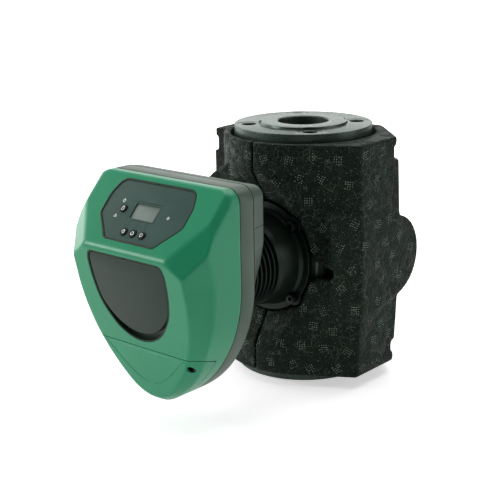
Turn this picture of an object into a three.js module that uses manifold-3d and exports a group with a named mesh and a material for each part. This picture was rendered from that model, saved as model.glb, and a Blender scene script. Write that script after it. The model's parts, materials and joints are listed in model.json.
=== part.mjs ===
// Flanged in-line circulator pump: a wet-rotor pump with foam insulation shells and a
// shield-shaped control head on the end of its motor.
//
// Millimetres, +Z up along the pipe, +X to the right and -Y towards the viewer of the
// control head. The origin is the centre of the lower flange's sealing face.
// The motor and the head are drawn in the motor frame: x to the right, y up from the
// motor axis, and z along the axis towards the front of the head.

import * as THREE from 'three';
import { mergeVertices } from 'three/addons/utils/BufferGeometryUtils.js';
import { ConvexGeometry } from 'three/addons/geometries/ConvexGeometry.js';
import Module from 'manifold-3d';

const wasm = await Module();
wasm.setup();

// ---------------------------------------------------------------- driving dimensions

const GAP = 0.4; // clearance between neighbouring pieces

// Pipework
const FACE_TO_FACE = 340;
const FLANGE_RADIUS = 92.5;
const FLANGE_THICKNESS = 20;
const RAISED_FACE_RADIUS = 59;
const RAISED_FACE_HEIGHT = 3;
const BORE_RADIUS = 34;
const BOLT_CIRCLE_RADIUS = 72.5;
const BOLT_HOLE_RADIUS = 9.5;
const SPOT_FACE_RADIUS = 17;
const STUB_RADIUS = 43;
const AXIS_HEIGHT = FACE_TO_FACE / 2;

// Volute and impeller, measured along Y
const VOLUTE_FRONT = -66;
const VOLUTE_BACK = -6;
const VOLUTE_SMALL_RADIUS = 82;
const VOLUTE_LARGE_RADIUS = 94;
const CHAMBER_FRONT = -58;
const CHAMBER_BACK = -16;
const CHAMBER_RADIUS = 68;
const EYE_RADIUS = 30;
const PASSAGE_RADIUS = 31;
const SUCTION_SETBACK = 24;
const IMPELLER_RADIUS = 50;
const IMPELLER_NECK_RADIUS = 26;
const BLADES = 6;

// Motor, measured along its axis towards the head
const MOTOR_FACE = 75;
const MOTOR_FLANGE_RADIUS = 74;
const MOTOR_FLANGE_THICKNESS = 8.5;
const LUG_CIRCLE_RADIUS = 69;
const LUG_RADIUS = 11;
const MOTOR_BODY_RADIUS = 64;
const RIB_RADIUS = 57;
const RIB_ROOT_RADIUS = 51.5;
const RIB_START = 124;
const RIB_PITCH = 8.5;
const RIB_COUNT = 8;
const MOTOR_BORE_RADIUS = 47;
const MOTOR_END = 205.6;
const SHAFT_RADIUS = 6;
const ROTOR_RADIUS = 21;
const CAN_RADIUS = 23.5;

// Insulation shells
const SHELL_BOTTOM = 15;
const SHELL_TOP = 327;
const NECK_RADIUS = 107;
const SHELL_RIGHT = 128;
const SHELL_LEFT = -112;
const SHELL_BACK = 91;
const SHELL_FRONT = -79;
const WING_SPREAD = {
  left: { top: -1.5, middle: 1.5, bottom: -1.5 },
  right: { top: 1.8, middle: 5.2, bottom: 0 },
};
const FLANGE_POCKET_RADIUS = 97.5;

// Control head
const HEAD_BACK = 206;
const COVER_SEAM = 232;
const HEAD_SEAM = 256;
const SHIELD_HALF_WIDTH = 110;
const SHIELD_TOP = 137;
const SHIELD_CORNER = 18;
const SHIELD_ARC_HEIGHT = 20;
const SHIELD_ARC_RADIUS = 176;
const SHIELD_TIP_RADIUS = 40;
const HEAD_WALL = 3;
const CHAMFER_START = 302;
const FRONT_HALF_WIDTH = 91;
const FRONT_ARC_RADIUS = 195;
const FRONT_TIP_RADIUS = 50;
const FRONT_DEPTH = 341.4;
const FRONT_DEPTH_HEIGHT = 68;
const FRONT_LEAN = 0.226;
const TERMINAL_TOP = -62.5;
const TERMINAL_BACK = 275;
const TERMINAL_SCREW = { x: 71, y: -76 };

// Control panel on the sloping face
const PANEL_TILT = THREE.MathUtils.degToRad(44);
const PANEL_CENTRE = new THREE.Vector3(0, 102, 301.5);
const BUTTON_RADIUS = 5.3;
const BUTTON_ROW = -28.4;
const BUTTON_STEP = 15.1;
const MODE_BUTTON = { x: -35.1, y: 1 };
const BUTTON_TRAVEL = 1;

// ------------------------------------------------------------------------- materials

const paint = (color, roughness, metalness = 0) =>
  new THREE.MeshStandardMaterial({ color, roughness, metalness });

const castIron = paint(0x6f7a73, 0.6, 0.5);
const steel = paint(0xb9bdc0, 0.35, 0.9);
const foam = paint(0x1f2622, 0.9);
const motorPaint = paint(0x161c19, 0.5, 0.3);
const magnet = paint(0x3a3d40, 0.5, 0.6);
const ceramic = paint(0xe8e4da, 0.4);
const laminations = paint(0x70757a, 0.5, 0.7);
const copper = paint(0xb0622f, 0.4, 0.8);
const plastic = paint(0x8a8f86, 0.6);
const greyPaint = paint(0x5c675f, 0.5);
const greenPaint = paint(0x43916e, 0.4);
const darkPlastic = paint(0x38443a, 0.5);
const panelFilm = paint(0x42544f, 0.5);
const bezelPlastic = paint(0x2b3630, 0.6);
const glass = paint(0x707c73, 0.2);
const rubber = paint(0x111312, 0.8);
const circuitBoard = paint(0x1e5a3a, 0.6);
const aluminium = paint(0xc4c8ca, 0.4, 0.8);

// --------------------------------------------------------------------------- helpers

// Flips a closed geometry whose faces point inwards.
function outward(geometry) {
  const bare = geometry.clone();
  bare.deleteAttribute('normal');
  bare.deleteAttribute('uv');
  const merged = mergeVertices(bare, 1e-4);
  const position = merged.getAttribute('position');
  const index = Array.from(merged.index.array);
  const corners = [new THREE.Vector3(), new THREE.Vector3(), new THREE.Vector3()];
  let volume = 0;
  const faces = [];
  for (let i = 0; i < index.length; i += 3) {
    const [a, b, c] = index.slice(i, i + 3);
    if (a === b || b === c || c === a) continue;
    corners.forEach((corner, k) => corner.fromBufferAttribute(position, index[i + k]));
    volume += corners[0].dot(corners[1].clone().cross(corners[2]));
    faces.push([a, b, c]);
  }
  const ordered = volume < 0 ? faces.map(([a, b, c]) => [a, c, b]) : faces;
  merged.setIndex(ordered.flat());
  return merged;
}

function solidOf(geometry) {
  const closed = outward(geometry);
  return new wasm.Manifold(new wasm.Mesh({
    numProp: 3,
    vertProperties: new Float32Array(closed.getAttribute('position').array),
    triVerts: new Uint32Array(closed.index.array),
  }));
}

function geometryOf(solid) {
  const mesh = solid.getMesh();
  const geometry = new THREE.BufferGeometry();
  geometry.setAttribute('position', new THREE.BufferAttribute(new Float32Array(mesh.vertProperties), 3));
  geometry.setIndex(new THREE.BufferAttribute(new Uint32Array(mesh.triVerts), 1));
  geometry.computeVertexNormals();
  return geometry;
}

const join = (...solids) => solids.reduce((sum, solid) => sum.add(solid));
const cut = (base, ...tools) => tools.reduce((rest, tool) => rest.subtract(tool), base);
const common = (...solids) => solids.reduce((rest, solid) => rest.intersect(solid));

const centred = (start, end) => (start + end) / 2;

function rodY(radius, start, end, x = 0, z = 0, segments = 36) {
  return solidOf(new THREE.CylinderGeometry(radius, radius, end - start, segments)
    .translate(x, centred(start, end), z));
}

function rodZ(radius, start, end, x = 0, y = 0, segments = 36) {
  return solidOf(new THREE.CylinderGeometry(radius, radius, end - start, segments)
    .rotateX(Math.PI / 2)
    .translate(x, y, centred(start, end)));
}

function block(x, y, z) {
  return solidOf(new THREE.BoxGeometry(x[1] - x[0], y[1] - y[0], z[1] - z[0])
    .translate(centred(...x), centred(...y), centred(...z)));
}

function ball(radius, x, y, z, segments = 14) {
  return solidOf(new THREE.SphereGeometry(radius, segments, segments / 2).translate(x, y, z));
}

// A profile of [radius, z] pairs turned about Z.
function turned(profile, segments = 36) {
  const points = profile.map(([radius, z]) => new THREE.Vector2(radius, z));
  return solidOf(new THREE.LatheGeometry([...points, points[0]], segments).rotateX(Math.PI / 2));
}

// A flat shape in x and y, extruded from z = start to z = end.
function slab(shape, start, end, curveSegments = 8) {
  const options = { depth: end - start, bevelEnabled: false, curveSegments };
  return solidOf(new THREE.ExtrudeGeometry(shape, options).translate(0, 0, start));
}

// A flat shape in y and z, extruded from x = start to x = end.
function sideSlab(shape, start, end, curveSegments = 8) {
  const options = { depth: end - start, bevelEnabled: false, curveSegments };
  const geometry = new THREE.ExtrudeGeometry(shape, options);
  geometry.applyMatrix4(new THREE.Matrix4().makeBasis(
    new THREE.Vector3(0, 1, 0), new THREE.Vector3(0, 0, 1), new THREE.Vector3(1, 0, 0)));
  return solidOf(geometry.translate(start, 0, 0));
}

function polygon(points) {
  return new THREE.Shape(points.map(([x, y]) => new THREE.Vector2(x, y)));
}

function tubeAlong(points, radius, curveSegments = 11, steps = 6) {
  const ring = new THREE.Shape().absarc(0, 0, radius, 0, 2 * Math.PI);
  const path = new THREE.CatmullRomCurve3(points.map((point) => new THREE.Vector3(...point)));
  const options = { steps, extrudePath: path, bevelEnabled: false, curveSegments };
  return solidOf(new THREE.ExtrudeGeometry(ring, options));
}

// A closed outline with each corner rounded: corners are [x, y, radius].
function rounded(corners) {
  const shape = new THREE.Shape();
  corners.forEach(([x, y, radius], i) => {
    const corner = new THREE.Vector2(x, y);
    const [px, py] = corners[(i + corners.length - 1) % corners.length];
    const [nx, ny] = corners[(i + 1) % corners.length];
    const before = new THREE.Vector2(px, py).sub(corner).normalize();
    const after = new THREE.Vector2(nx, ny).sub(corner).normalize();
    const reach = radius / Math.tan(Math.acos(before.dot(after)) / 2);
    const from = corner.clone().addScaledVector(before, reach);
    const to = corner.clone().addScaledVector(after, reach);
    if (i === 0) shape.moveTo(from.x, from.y);
    else shape.lineTo(from.x, from.y);
    shape.quadraticCurveTo(x, y, to.x, to.y);
  });
  return shape;
}

const mirrored = (points) => [...points, ...points.map(([x, ...rest]) => [-x, ...rest]).reverse()];

function add(group, name, solid, material) {
  const mesh = new THREE.Mesh(geometryOf(solid), material);
  mesh.name = name;
  group.add(mesh);
  return mesh;
}

// --------------------------------------------------------------------------- groups

const pump = new THREE.Group();
const motor = new THREE.Group();
motor.position.set(0, 0, AXIS_HEIGHT);
motor.rotation.x = Math.PI / 2;
pump.add(motor);
const panel = new THREE.Group();
panel.position.copy(PANEL_CENTRE);
panel.rotation.x = -PANEL_TILT;
motor.add(panel);

const quarterPoints = (radius) => [45, 135, 225, 315].map((degrees) => {
  const angle = THREE.MathUtils.degToRad(degrees);
  return [radius * Math.cos(angle), radius * Math.sin(angle)];
});
const boltPoints = quarterPoints(BOLT_CIRCLE_RADIUS);
const lugPoints = quarterPoints(LUG_CIRCLE_RADIUS);

// --------------------------------------------------------------------- pump casing

// One flange with its sealing face at height face; out is +1 when the face points up.
function flange(face, out) {
  const span = (from, to) => [face - out * from, face - out * to].sort((a, b) => a - b);
  return join(
    rodZ(FLANGE_RADIUS, ...span(RAISED_FACE_HEIGHT, RAISED_FACE_HEIGHT + FLANGE_THICKNESS), 0, 0, 48),
    rodZ(RAISED_FACE_RADIUS, ...span(0, RAISED_FACE_HEIGHT + 1), 0, 0, 48),
  );
}

function flangeHoles(face, out) {
  const span = (from, to) => [face - out * from, face - out * to].sort((a, b) => a - b);
  return join(...boltPoints.flatMap(([x, y]) => [
    rodZ(BOLT_HOLE_RADIUS, ...span(-1, FLANGE_THICKNESS + 8), x, y, 20),
    rodZ(SPOT_FACE_RADIUS, ...span(-1, RAISED_FACE_HEIGHT), x, y, 20),
  ]));
}

// The volute's outline seen from the front, growing towards the left and the outlet.
function voluteOutline(clearance) {
  const steps = 32;
  const points = Array.from({ length: steps }, (_, i) => {
    const turn = i / steps;
    const angle = 0.3 * Math.PI + 2 * Math.PI * turn;
    const growth = Math.sin(Math.PI * turn) ** 2;
    const radius = VOLUTE_SMALL_RADIUS + (VOLUTE_LARGE_RADIUS - VOLUTE_SMALL_RADIUS) * growth + clearance;
    return [radius * Math.cos(angle), radius * Math.sin(angle)];
  });
  return polygon(points);
}

// A shape in the front plane, extruded along Y between two depths.
function frontSlab(shape, yStart, yEnd, curveSegments = 8) {
  const options = { depth: yEnd - yStart, bevelEnabled: false, curveSegments };
  return solidOf(new THREE.ExtrudeGeometry(shape, options)
    .rotateX(Math.PI / 2)
    .translate(0, yEnd, AXIS_HEIGHT));
}

function buildCasing() {
  const suction = [[0, 0, 20], [0, 0, 60], [0, 12, 105], [0, SUCTION_SETBACK, 145], [0, SUCTION_SETBACK, 175]];
  const outlet = [[0, -30, 222], [0, -24, 250], [0, -4, 285], [0, 0, 320]];
  const outside = join(
    flange(0, -1),
    flange(FACE_TO_FACE, 1),
    tubeAlong(suction, STUB_RADIUS),
    tubeAlong(outlet, STUB_RADIUS - 3),
    ball(STUB_RADIUS, 0, SUCTION_SETBACK, 172),
    frontSlab(voluteOutline(0), VOLUTE_FRONT, VOLUTE_BACK),
    rodY(MOTOR_FLANGE_RADIUS - 1, -MOTOR_FACE, VOLUTE_FRONT + 2, 0, AXIS_HEIGHT),
    ...lugPoints.map(([x, y]) => rodY(LUG_RADIUS, -MOTOR_FACE, VOLUTE_FRONT + 8, x, AXIS_HEIGHT + y, 16)),
  );
  return cut(
    outside,
    flangeHoles(0, -1),
    flangeHoles(FACE_TO_FACE, 1),
    rodZ(BORE_RADIUS, -1, 40, 0, 0, 36),
    rodZ(BORE_RADIUS, FACE_TO_FACE - 32, FACE_TO_FACE + 1, 0, 0, 36),
    tubeAlong(suction, PASSAGE_RADIUS),
    tubeAlong(outlet, PASSAGE_RADIUS - 3),
    ball(PASSAGE_RADIUS, 0, SUCTION_SETBACK, 172),
    rodY(EYE_RADIUS, CHAMBER_BACK - 1, SUCTION_SETBACK, 0, AXIS_HEIGHT, 30),
    rodY(CHAMBER_RADIUS, CHAMBER_FRONT, CHAMBER_BACK, 0, AXIS_HEIGHT),
    rodY(60, -MOTOR_FACE - 1, CHAMBER_FRONT + 1, 0, AXIS_HEIGHT),
    ...lugPoints.map(([x, y]) => rodY(3.2, -MOTOR_FACE - 1, -60, x, AXIS_HEIGHT + y, 12)),
  );
}

// --------------------------------------------------------------- insulation shells

// Plan of the foam block: a round neck at the front running straight into the right wing,
// a square left wing and a chamfered back.
function shellPlan() {
  const wingRight = -48;
  const wingLeft = -56;
  const reach = Math.hypot(SHELL_RIGHT, wingRight);
  const startAngle = Math.atan2(wingRight, SHELL_RIGHT) - Math.acos(NECK_RADIUS / reach);
  const endAngle = -Math.PI - Math.asin(wingLeft / NECK_RADIUS);
  const shape = new THREE.Shape();
  shape.moveTo(SHELL_RIGHT, 34);
  shape.lineTo(SHELL_RIGHT, wingRight);
  shape.absarc(0, 0, NECK_RADIUS, startAngle, endAngle, true);
  shape.lineTo(SHELL_LEFT, wingLeft);
  shape.lineTo(SHELL_LEFT, 38);
  shape.lineTo(-60, SHELL_BACK);
  shape.lineTo(69, SHELL_BACK);
  return shape;
}

// The foam block: its wings stand out most at mid height and draw in towards both ends.
function shellBlock() {
  const middle = AXIS_HEIGHT + 1;
  const options = { depth: SHELL_TOP - SHELL_BOTTOM, steps: 2, bevelEnabled: false, curveSegments: 24 };
  const geometry = new THREE.ExtrudeGeometry(shellPlan(), options).translate(0, 0, SHELL_BOTTOM);
  const position = geometry.getAttribute('position');
  const spreadAt = (side, z) => {
    const end = z > middle ? side.top : side.bottom;
    const share = Math.abs(z - middle) / (SHELL_TOP - middle);
    return THREE.MathUtils.lerp(side.middle, end, share);
  };
  for (let i = 0; i < position.count; i += 1) {
    const [x, y, z] = [position.getX(i), position.getY(i), position.getZ(i)];
    const spread = spreadAt(x > 0 ? WING_SPREAD.right : WING_SPREAD.left, z);
    const onWing = Math.abs(x) > Math.abs(SHELL_LEFT) - 1;
    if (onWing) position.setX(i, x + Math.sign(x) * spread);
    if (y > 0) position.setY(i, y + spread);
  }
  return solidOf(geometry);
}

// The bulge that wraps the volute on the right: a tongue seen from the side.
function rightBulge() {
  const side = new THREE.Shape();
  side.moveTo(SHELL_FRONT, 97);
  side.lineTo(-43, 97);
  side.lineTo(45, 114);
  side.absarc(26.3, 167, 55.8, -1.23, 1.23, false);
  side.lineTo(-43, 239);
  side.lineTo(SHELL_FRONT, 243);
  const outer = SHELL_RIGHT + 5.5;
  const plan = polygon([[0, SHELL_FRONT], [106, SHELL_FRONT], [outer, -47], [outer, 100], [0, 100]]);
  return common(sideSlab(side, 0, outer + 2, 10), slab(plan, 80, 260));
}

// The bulge on the left is a round boss about the motor axis.
function leftBulge() {
  const side = block([SHELL_LEFT - 2, 0], [-95, 45], [20, 320]);
  return common(side, rodY(132, -96, 50, 0, AXIS_HEIGHT, 48));
}

// The round dish in front of the motor opening, widening towards the front.
function frontDish() {
  const inner = 72;
  const slope = 0.6;
  const reach = 70;
  return solidOf(new THREE.CylinderGeometry(inner, inner + reach / slope, reach, 48)
    .translate(0, SHELL_FRONT - reach / 2, AXIS_HEIGHT));
}

// Corner notches for the straps that hold the two shells together, with set-back lips.
function strapNotches() {
  const notch = { depth: 7, heights: [[29, 47], [296, 316]] };
  const lip = { depth: 3, heights: [[SHELL_BOTTOM - 1, 30], [315, SHELL_TOP + 1]] };
  return [notch, lip].flatMap(({ depth, heights }) => heights.flatMap((height) => [
    block([SHELL_LEFT - 9, SHELL_LEFT + depth], [-70, -42], height),
    cornerBlock([SHELL_RIGHT + 2, 36], [69, SHELL_BACK + 2], depth, height),
    cornerBlock([SHELL_LEFT, 38], [-60, SHELL_BACK + 2], depth, height),
  ]));
}

// A block laid along the chamfer between two points of the plan, sunk in by depth.
function cornerBlock(from, to, depth, height) {
  const length = Math.hypot(to[0] - from[0], to[1] - from[1]) + 24;
  const angle = Math.atan2(to[1] - from[1], to[0] - from[0]);
  return solidOf(new THREE.BoxGeometry(length, 2 * depth, height[1] - height[0])
    .rotateZ(angle)
    .translate(centred(from[0], to[0]), centred(from[1], to[1]), centred(...height)));
}

function buildInsulation() {
  const bottomChamfer = (x, sign) => solidOf(new THREE.BoxGeometry(40, 400, 16)
    .rotateY(sign * Math.PI / 4)
    .translate(x, 0, SHELL_BOTTOM - 4));
  const outside = join(shellBlock(), rightBulge(), leftBulge());
  const slot = polygon([[60, -23], [107, -14.5], [107, -3], [60, 8]]);
  return cut(
    outside,
    frontDish(),
    rodY(MOTOR_FLANGE_RADIUS + 2, -130, -60, 0, AXIS_HEIGHT, 48),
    ...lugPoints.map(([x, y]) => rodY(LUG_RADIUS + 2, -130, -60, x, AXIS_HEIGHT + y, 20)),
    rodZ(FLANGE_POCKET_RADIUS, -5, 26, 0, 0, 48),
    rodZ(FLANGE_POCKET_RADIUS, FACE_TO_FACE - 26, FACE_TO_FACE + 5, 0, 0, 48),
    rodZ(STUB_RADIUS + 5, 10, FACE_TO_FACE - 10, 0, 0, 32),
    frontSlab(voluteOutline(3), VOLUTE_FRONT - 3, VOLUTE_BACK + 3),
    rodZ(STUB_RADIUS + 5, 40, 222, 0, SUCTION_SETBACK, 32),
    rodZ(STUB_RADIUS + 3, 200, 300, 0, -27, 32),
    frontSlab(slot, -100, -60),
    bottomChamfer(SHELL_RIGHT + 4, -1),
    bottomChamfer(SHELL_LEFT - 4, 1),
    ...strapNotches(),
  );
}

add(pump, 'pump_casing', buildCasing(), castIron);
const insulation = buildInsulation();
const leftHalf = block([-200, -GAP], [-200, 200], [-10, 360]);
const rightHalf = block([GAP, 200], [-200, 200], [-10, 360]);
add(pump, 'insulation_shell_left', common(insulation, leftHalf), foam);
add(pump, 'insulation_shell_right', common(insulation, rightHalf), foam);

// --------------------------------------------------------- rotating group and motor

function buildImpeller() {
  const blade = () => {
    const shape = new THREE.Shape();
    const thickness = 3;
    shape.absarc(24, 14, 30, -2.3, -0.55, false);
    shape.absarc(24, 14, 30 - thickness, -0.55, -2.3, true);
    return slab(shape, 30.5, 47.5, 6);
  };
  const blades = Array.from({ length: BLADES }, (_, i) =>
    blade().rotate([0, 0, (360 / BLADES) * i]));
  const shroud = turned([[IMPELLER_NECK_RADIUS - 3, 12], [IMPELLER_NECK_RADIUS, 12], [IMPELLER_NECK_RADIUS, 27],
    [IMPELLER_RADIUS, 29], [IMPELLER_RADIUS, 31.5], [IMPELLER_NECK_RADIUS - 3, 31.5]], 24);
  const backPlate = turned([[SHAFT_RADIUS + GAP, 44], [12, 44], [15, 47], [IMPELLER_RADIUS, 47],
    [IMPELLER_RADIUS, 50], [12, 50], [12, 56], [SHAFT_RADIUS + GAP, 56]], 24);
  const trimmed = common(join(...blades), rodZ(IMPELLER_RADIUS, 30, 48, 0, 0, 24));
  return join(shroud, backPlate, cut(trimmed, rodZ(15, 30, 44, 0, 0, 20)));
}

const ring = (inner, outer, start, end, segments = 24) =>
  turned([[inner, start], [outer, start], [outer, end], [inner, end]], segments);

add(motor, 'wear_ring', ring(IMPELLER_NECK_RADIUS + 0.6, EYE_RADIUS - GAP, 7, 22, 30), steel);
add(motor, 'impeller', buildImpeller(), steel);
add(motor, 'impeller_nut', cut(rodZ(9, 36, 42.6, 0, 0, 6), rodZ(4 + GAP, 30, 50, 0, 0, 16)), steel);
add(motor, 'rotor_shaft', turned([[0, 34], [4, 34], [4, 43], [SHAFT_RADIUS, 43.8],
  [SHAFT_RADIUS, 190], [0, 190]], 20), steel);
add(motor, 'rotor_core', ring(SHAFT_RADIUS + GAP, ROTOR_RADIUS, 106, 164, 24), magnet);
add(motor, 'thrust_ring', ring(SHAFT_RADIUS + GAP, 13, 97.4, 101, 20), rubber);
add(motor, 'front_bearing', ring(SHAFT_RADIUS + GAP, 13, 80, 96.6, 20), ceramic);
add(motor, 'rear_bearing', ring(SHAFT_RADIUS + GAP, 12.5, 172, 188, 20), ceramic);
add(motor, 'bearing_plate', turned([[13.4, 66], [19, 66], [19, 72], [58, 72], [58, 74.6],
  [22, 74.6], [18, 96.4], [13.4, 96.4]], 30), steel);
add(motor, 'casing_gasket', ring(58.5, 63, 75 + GAP, 76.8, 30), rubber);
add(motor, 'separating_can', turned([[CAN_RADIUS, 76], [57.5, 76], [57.5, 78], [CAN_RADIUS + 1, 78],
  [CAN_RADIUS + 1, 170], [14.4, 171], [14.4, 193], [0, 193], [0, 191.6], [13, 191.6],
  [13, 169.6], [CAN_RADIUS, 168.6]], 24), steel);
add(motor, 'stator_core', ring(CAN_RADIUS + 1.5, MOTOR_BORE_RADIUS - GAP, 108, 160, 24), laminations);
add(motor, 'front_winding', ring(28, 43, 94, 107.4, 20), copper);
add(motor, 'rear_winding', ring(28, 43, 160.6, 174, 20), copper);

function buildMotorHousing() {
  const body = [[MOTOR_FLANGE_RADIUS, MOTOR_FACE + GAP], [MOTOR_FLANGE_RADIUS, MOTOR_FACE + MOTOR_FLANGE_THICKNESS],
    [MOTOR_BODY_RADIUS + 1.5, MOTOR_FACE + MOTOR_FLANGE_THICKNESS], [MOTOR_BODY_RADIUS - 1, MOTOR_FACE + 13],
    [MOTOR_BODY_RADIUS - 2.5, 100], [RIB_RADIUS + 2.5, 115], [RIB_RADIUS, RIB_START - 2.5]];
  const ribs = Array.from({ length: RIB_COUNT }, (_, i) => RIB_START + i * RIB_PITCH).flatMap((start) => [
    [RIB_RADIUS, start], [RIB_ROOT_RADIUS, start + 1], [RIB_ROOT_RADIUS, start + 5], [RIB_RADIUS, start + 6]]);
  const end = [[RIB_RADIUS - 3, RIB_START + RIB_COUNT * RIB_PITCH], [46, 196], [46, MOTOR_END], [20, MOTOR_END]];
  const inside = [[20, 197], [MOTOR_BORE_RADIUS, 192], [MOTOR_BORE_RADIUS, 84], [58.4, 80], [58.4, 77.2],
    [64, 77.2], [64, MOTOR_FACE + GAP]];
  const shell = turned([...body, ...ribs, ...end, ...inside], 32);
  const lugs = lugPoints.map(([x, y]) =>
    rodZ(LUG_RADIUS, MOTOR_FACE + GAP, MOTOR_FACE + MOTOR_FLANGE_THICKNESS, x, y, 18));
  const inner = rodZ(64, 70, 90, 0, 0, 36);
  const holes = lugPoints.flatMap(([x, y]) => [
    rodZ(3.6, 70, 90, x, y, 12),
    rodZ(7, MOTOR_FACE + MOTOR_FLANGE_THICKNESS, 100, x, y, 16),
  ]);
  return cut(join(shell, ...lugs.map((lug) => cut(lug, inner))), ...holes);
}

add(motor, 'motor_housing', buildMotorHousing(), motorPaint);
lugPoints.forEach(([x, y], i) => {
  const head = rodZ(6, MOTOR_FACE + MOTOR_FLANGE_THICKNESS + GAP, 92, x, y, 14);
  const shank = rodZ(2.8, 62, MOTOR_FACE + MOTOR_FLANGE_THICKNESS + 2, x, y, 10);
  const socket = rodZ(3, 88, 93, x, y, 6);
  add(motor, `motor_screw_${i + 1}`, cut(join(head, shank), socket), steel);
});

// ------------------------------------------------------------------- control head

// One side of the shield outline, from the tip round to the height of the arc's centre.
function shieldSide(halfWidth, arcRadius, tipRadius, arcSteps) {
  const centreX = halfWidth - arcRadius;
  const drop = Math.sqrt((arcRadius - tipRadius) ** 2 - centreX ** 2);
  const tipY = SHIELD_ARC_HEIGHT - drop;
  const meet = Math.atan2(tipY - SHIELD_ARC_HEIGHT, -centreX);
  const tip = [0.2, 0.6].map((t) => {
    const angle = THREE.MathUtils.lerp(-Math.PI / 2, meet, t);
    return [tipRadius * Math.cos(angle), tipY + tipRadius * Math.sin(angle)];
  });
  const side = Array.from({ length: arcSteps + 1 }, (_, i) => {
    const angle = THREE.MathUtils.lerp(meet, 0, i / arcSteps);
    return [centreX + arcRadius * Math.cos(angle), SHIELD_ARC_HEIGHT + arcRadius * Math.sin(angle)];
  });
  return [...tip, ...side];
}

// The whole shield outline, moved inwards by inset, as a list of [x, y].
function shieldPoints(inset = 0, arcSteps = 9) {
  const halfWidth = SHIELD_HALF_WIDTH - inset;
  const corner = Math.max(SHIELD_CORNER - inset, 4);
  const top = SHIELD_TOP - inset;
  const corners = [0, 0.25, 0.5, 0.75, 1].map((t) => {
    const angle = t * Math.PI / 2;
    return [halfWidth - corner + corner * Math.cos(angle), top - corner + corner * Math.sin(angle)];
  });
  return mirrored([
    ...shieldSide(halfWidth, SHIELD_ARC_RADIUS - inset, SHIELD_TIP_RADIUS - inset, arcSteps),
    ...corners,
  ]);
}

const frontDepth = (y) => FRONT_DEPTH - FRONT_LEAN * (FRONT_DEPTH_HEIGHT - y);

// A point of the sloping face: x across, v up the slope and n proud of it.
function onSlope(x, v, n = 0) {
  return new THREE.Vector3(x, v, n)
    .applyAxisAngle(new THREE.Vector3(1, 0, 0), -PANEL_TILT)
    .add(PANEL_CENTRE);
}

// The outer form of the green cover, or its hollow when inset is the wall.
function coverForm(inset) {
  const back = inset > 0 ? HEAD_SEAM - 10 : HEAD_SEAM;
  const points = shieldPoints(inset).map(([x, y]) => new THREE.Vector3(x, y, back));
  const sideRing = shieldPoints(inset).filter(([, y]) => y < 60);
  sideRing.forEach(([x, y]) => points.push(new THREE.Vector3(x, y, Math.min(CHAMFER_START, frontDepth(y) - 12) - inset)));
  const face = mirrored([
    ...shieldSide(FRONT_HALF_WIDTH - inset, FRONT_ARC_RADIUS - inset, FRONT_TIP_RADIUS - inset, 7),
    [FRONT_HALF_WIDTH - inset, 44],
    [86 - inset, 54],
    [74 - inset, 62.5 - inset * 0.4],
  ]);
  face.forEach(([x, y]) => points.push(new THREE.Vector3(x, y, frontDepth(y) - inset)));
  const slope = mirrored([[90, 48.2], [100, 41], [103, 20], [103, -4], [98, -18]]);
  slope.forEach(([x, v]) => points.push(onSlope(x - Math.sign(x) * inset, Math.min(v, 48 - inset * 0.4), -inset)));
  const crest = mirrored([[110, 125, 265], [110, 94, 300], [109, 72, 313]]);
  crest.forEach(([x, y, z]) =>
    points.push(new THREE.Vector3(x - Math.sign(x) * inset, y - inset, z - inset)));
  return solidOf(new ConvexGeometry(points));
}

// Outline of the control panel, grown outwards by margin.
function panelOutline(margin) {
  return rounded(mirrored([
    [58 + margin, 39.4 + margin, 13],
    [66.2 + margin, 18 + margin * 0.2, 24],
    [66.2 + margin, -9.5 - margin * 0.3, 9],
    [39 + margin * 0.8, -39.4 - margin, 5],
  ]).map(([x, y, radius]) => [x, y, radius + margin * 0.5]));
}

// Outline of the shield-shaped name plate on the front face, in x and y.
function plateOutline(margin, bottom = -51) {
  const half = [
    [58 + margin, 54 + margin, 9],
    [62.5 + margin, 34, 30],
    [57 + margin * 0.9, -8, 40],
    [36 + margin * 0.8, -39 - margin * 0.4, 26],
    [14 + margin * 0.3, bottom - margin, 16],
  ];
  return rounded(mirrored(half));
}

// A shape in x and y pushed along z from behind the front wall to in front of it.
const throughFront = (shape, from = 280, to = 360) => slab(shape, from, to, 5);

// A layer of the front face between two distances behind its plane.
function frontLayer(near, far) {
  const rise = 120;
  const side = polygon([
    [-rise, frontDepth(-rise) - near], [-rise, frontDepth(-rise) - far],
    [rise, frontDepth(rise) - far], [rise, frontDepth(rise) - near],
  ]);
  return sideSlab(side, -130, 130);
}

// The lower region of the cover that comes away for wiring, grown by margin.
function terminalRegion(margin) {
  const side = polygon([
    [-200, TERMINAL_BACK - margin], [-71 + margin, TERMINAL_BACK - margin],
    [TERMINAL_TOP + margin, CHAMFER_START - 2], [TERMINAL_TOP + margin, 360], [-200, 360],
  ]);
  return sideSlab(side, -130, 130);
}

const toPanel = (solid) => solidOf(geometryOf(solid)
  .rotateX(-PANEL_TILT)
  .translate(PANEL_CENTRE.x, PANEL_CENTRE.y, PANEL_CENTRE.z));

const screwPoints = [-1, 1].map((side) => [side * TERMINAL_SCREW.x, TERMINAL_SCREW.y]);

function buildCovers() {
  const form = coverForm(0);
  const hollow = coverForm(HEAD_WALL);
  const skin = cut(form, hollow);
  const bosses = common(form, join(...screwPoints.map(([x, y]) => rodZ(6, 284, 320, x, y, 16))));
  const openings = [
    toPanel(slab(panelOutline(3), -14, 10, 5)),
    throughFront(plateOutline(2.6)),
  ];
  const screwHoles = screwPoints.flatMap(([x, y]) => [rodZ(2.9, 270, 330, x, y, 12), rodZ(4.6, 297, 330, x, y, 16)]);
  return {
    front: cut(skin, ...openings, terminalRegion(GAP)),
    terminal: cut(common(join(skin, bosses), terminalRegion(0)), ...screwHoles),
  };
}

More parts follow.
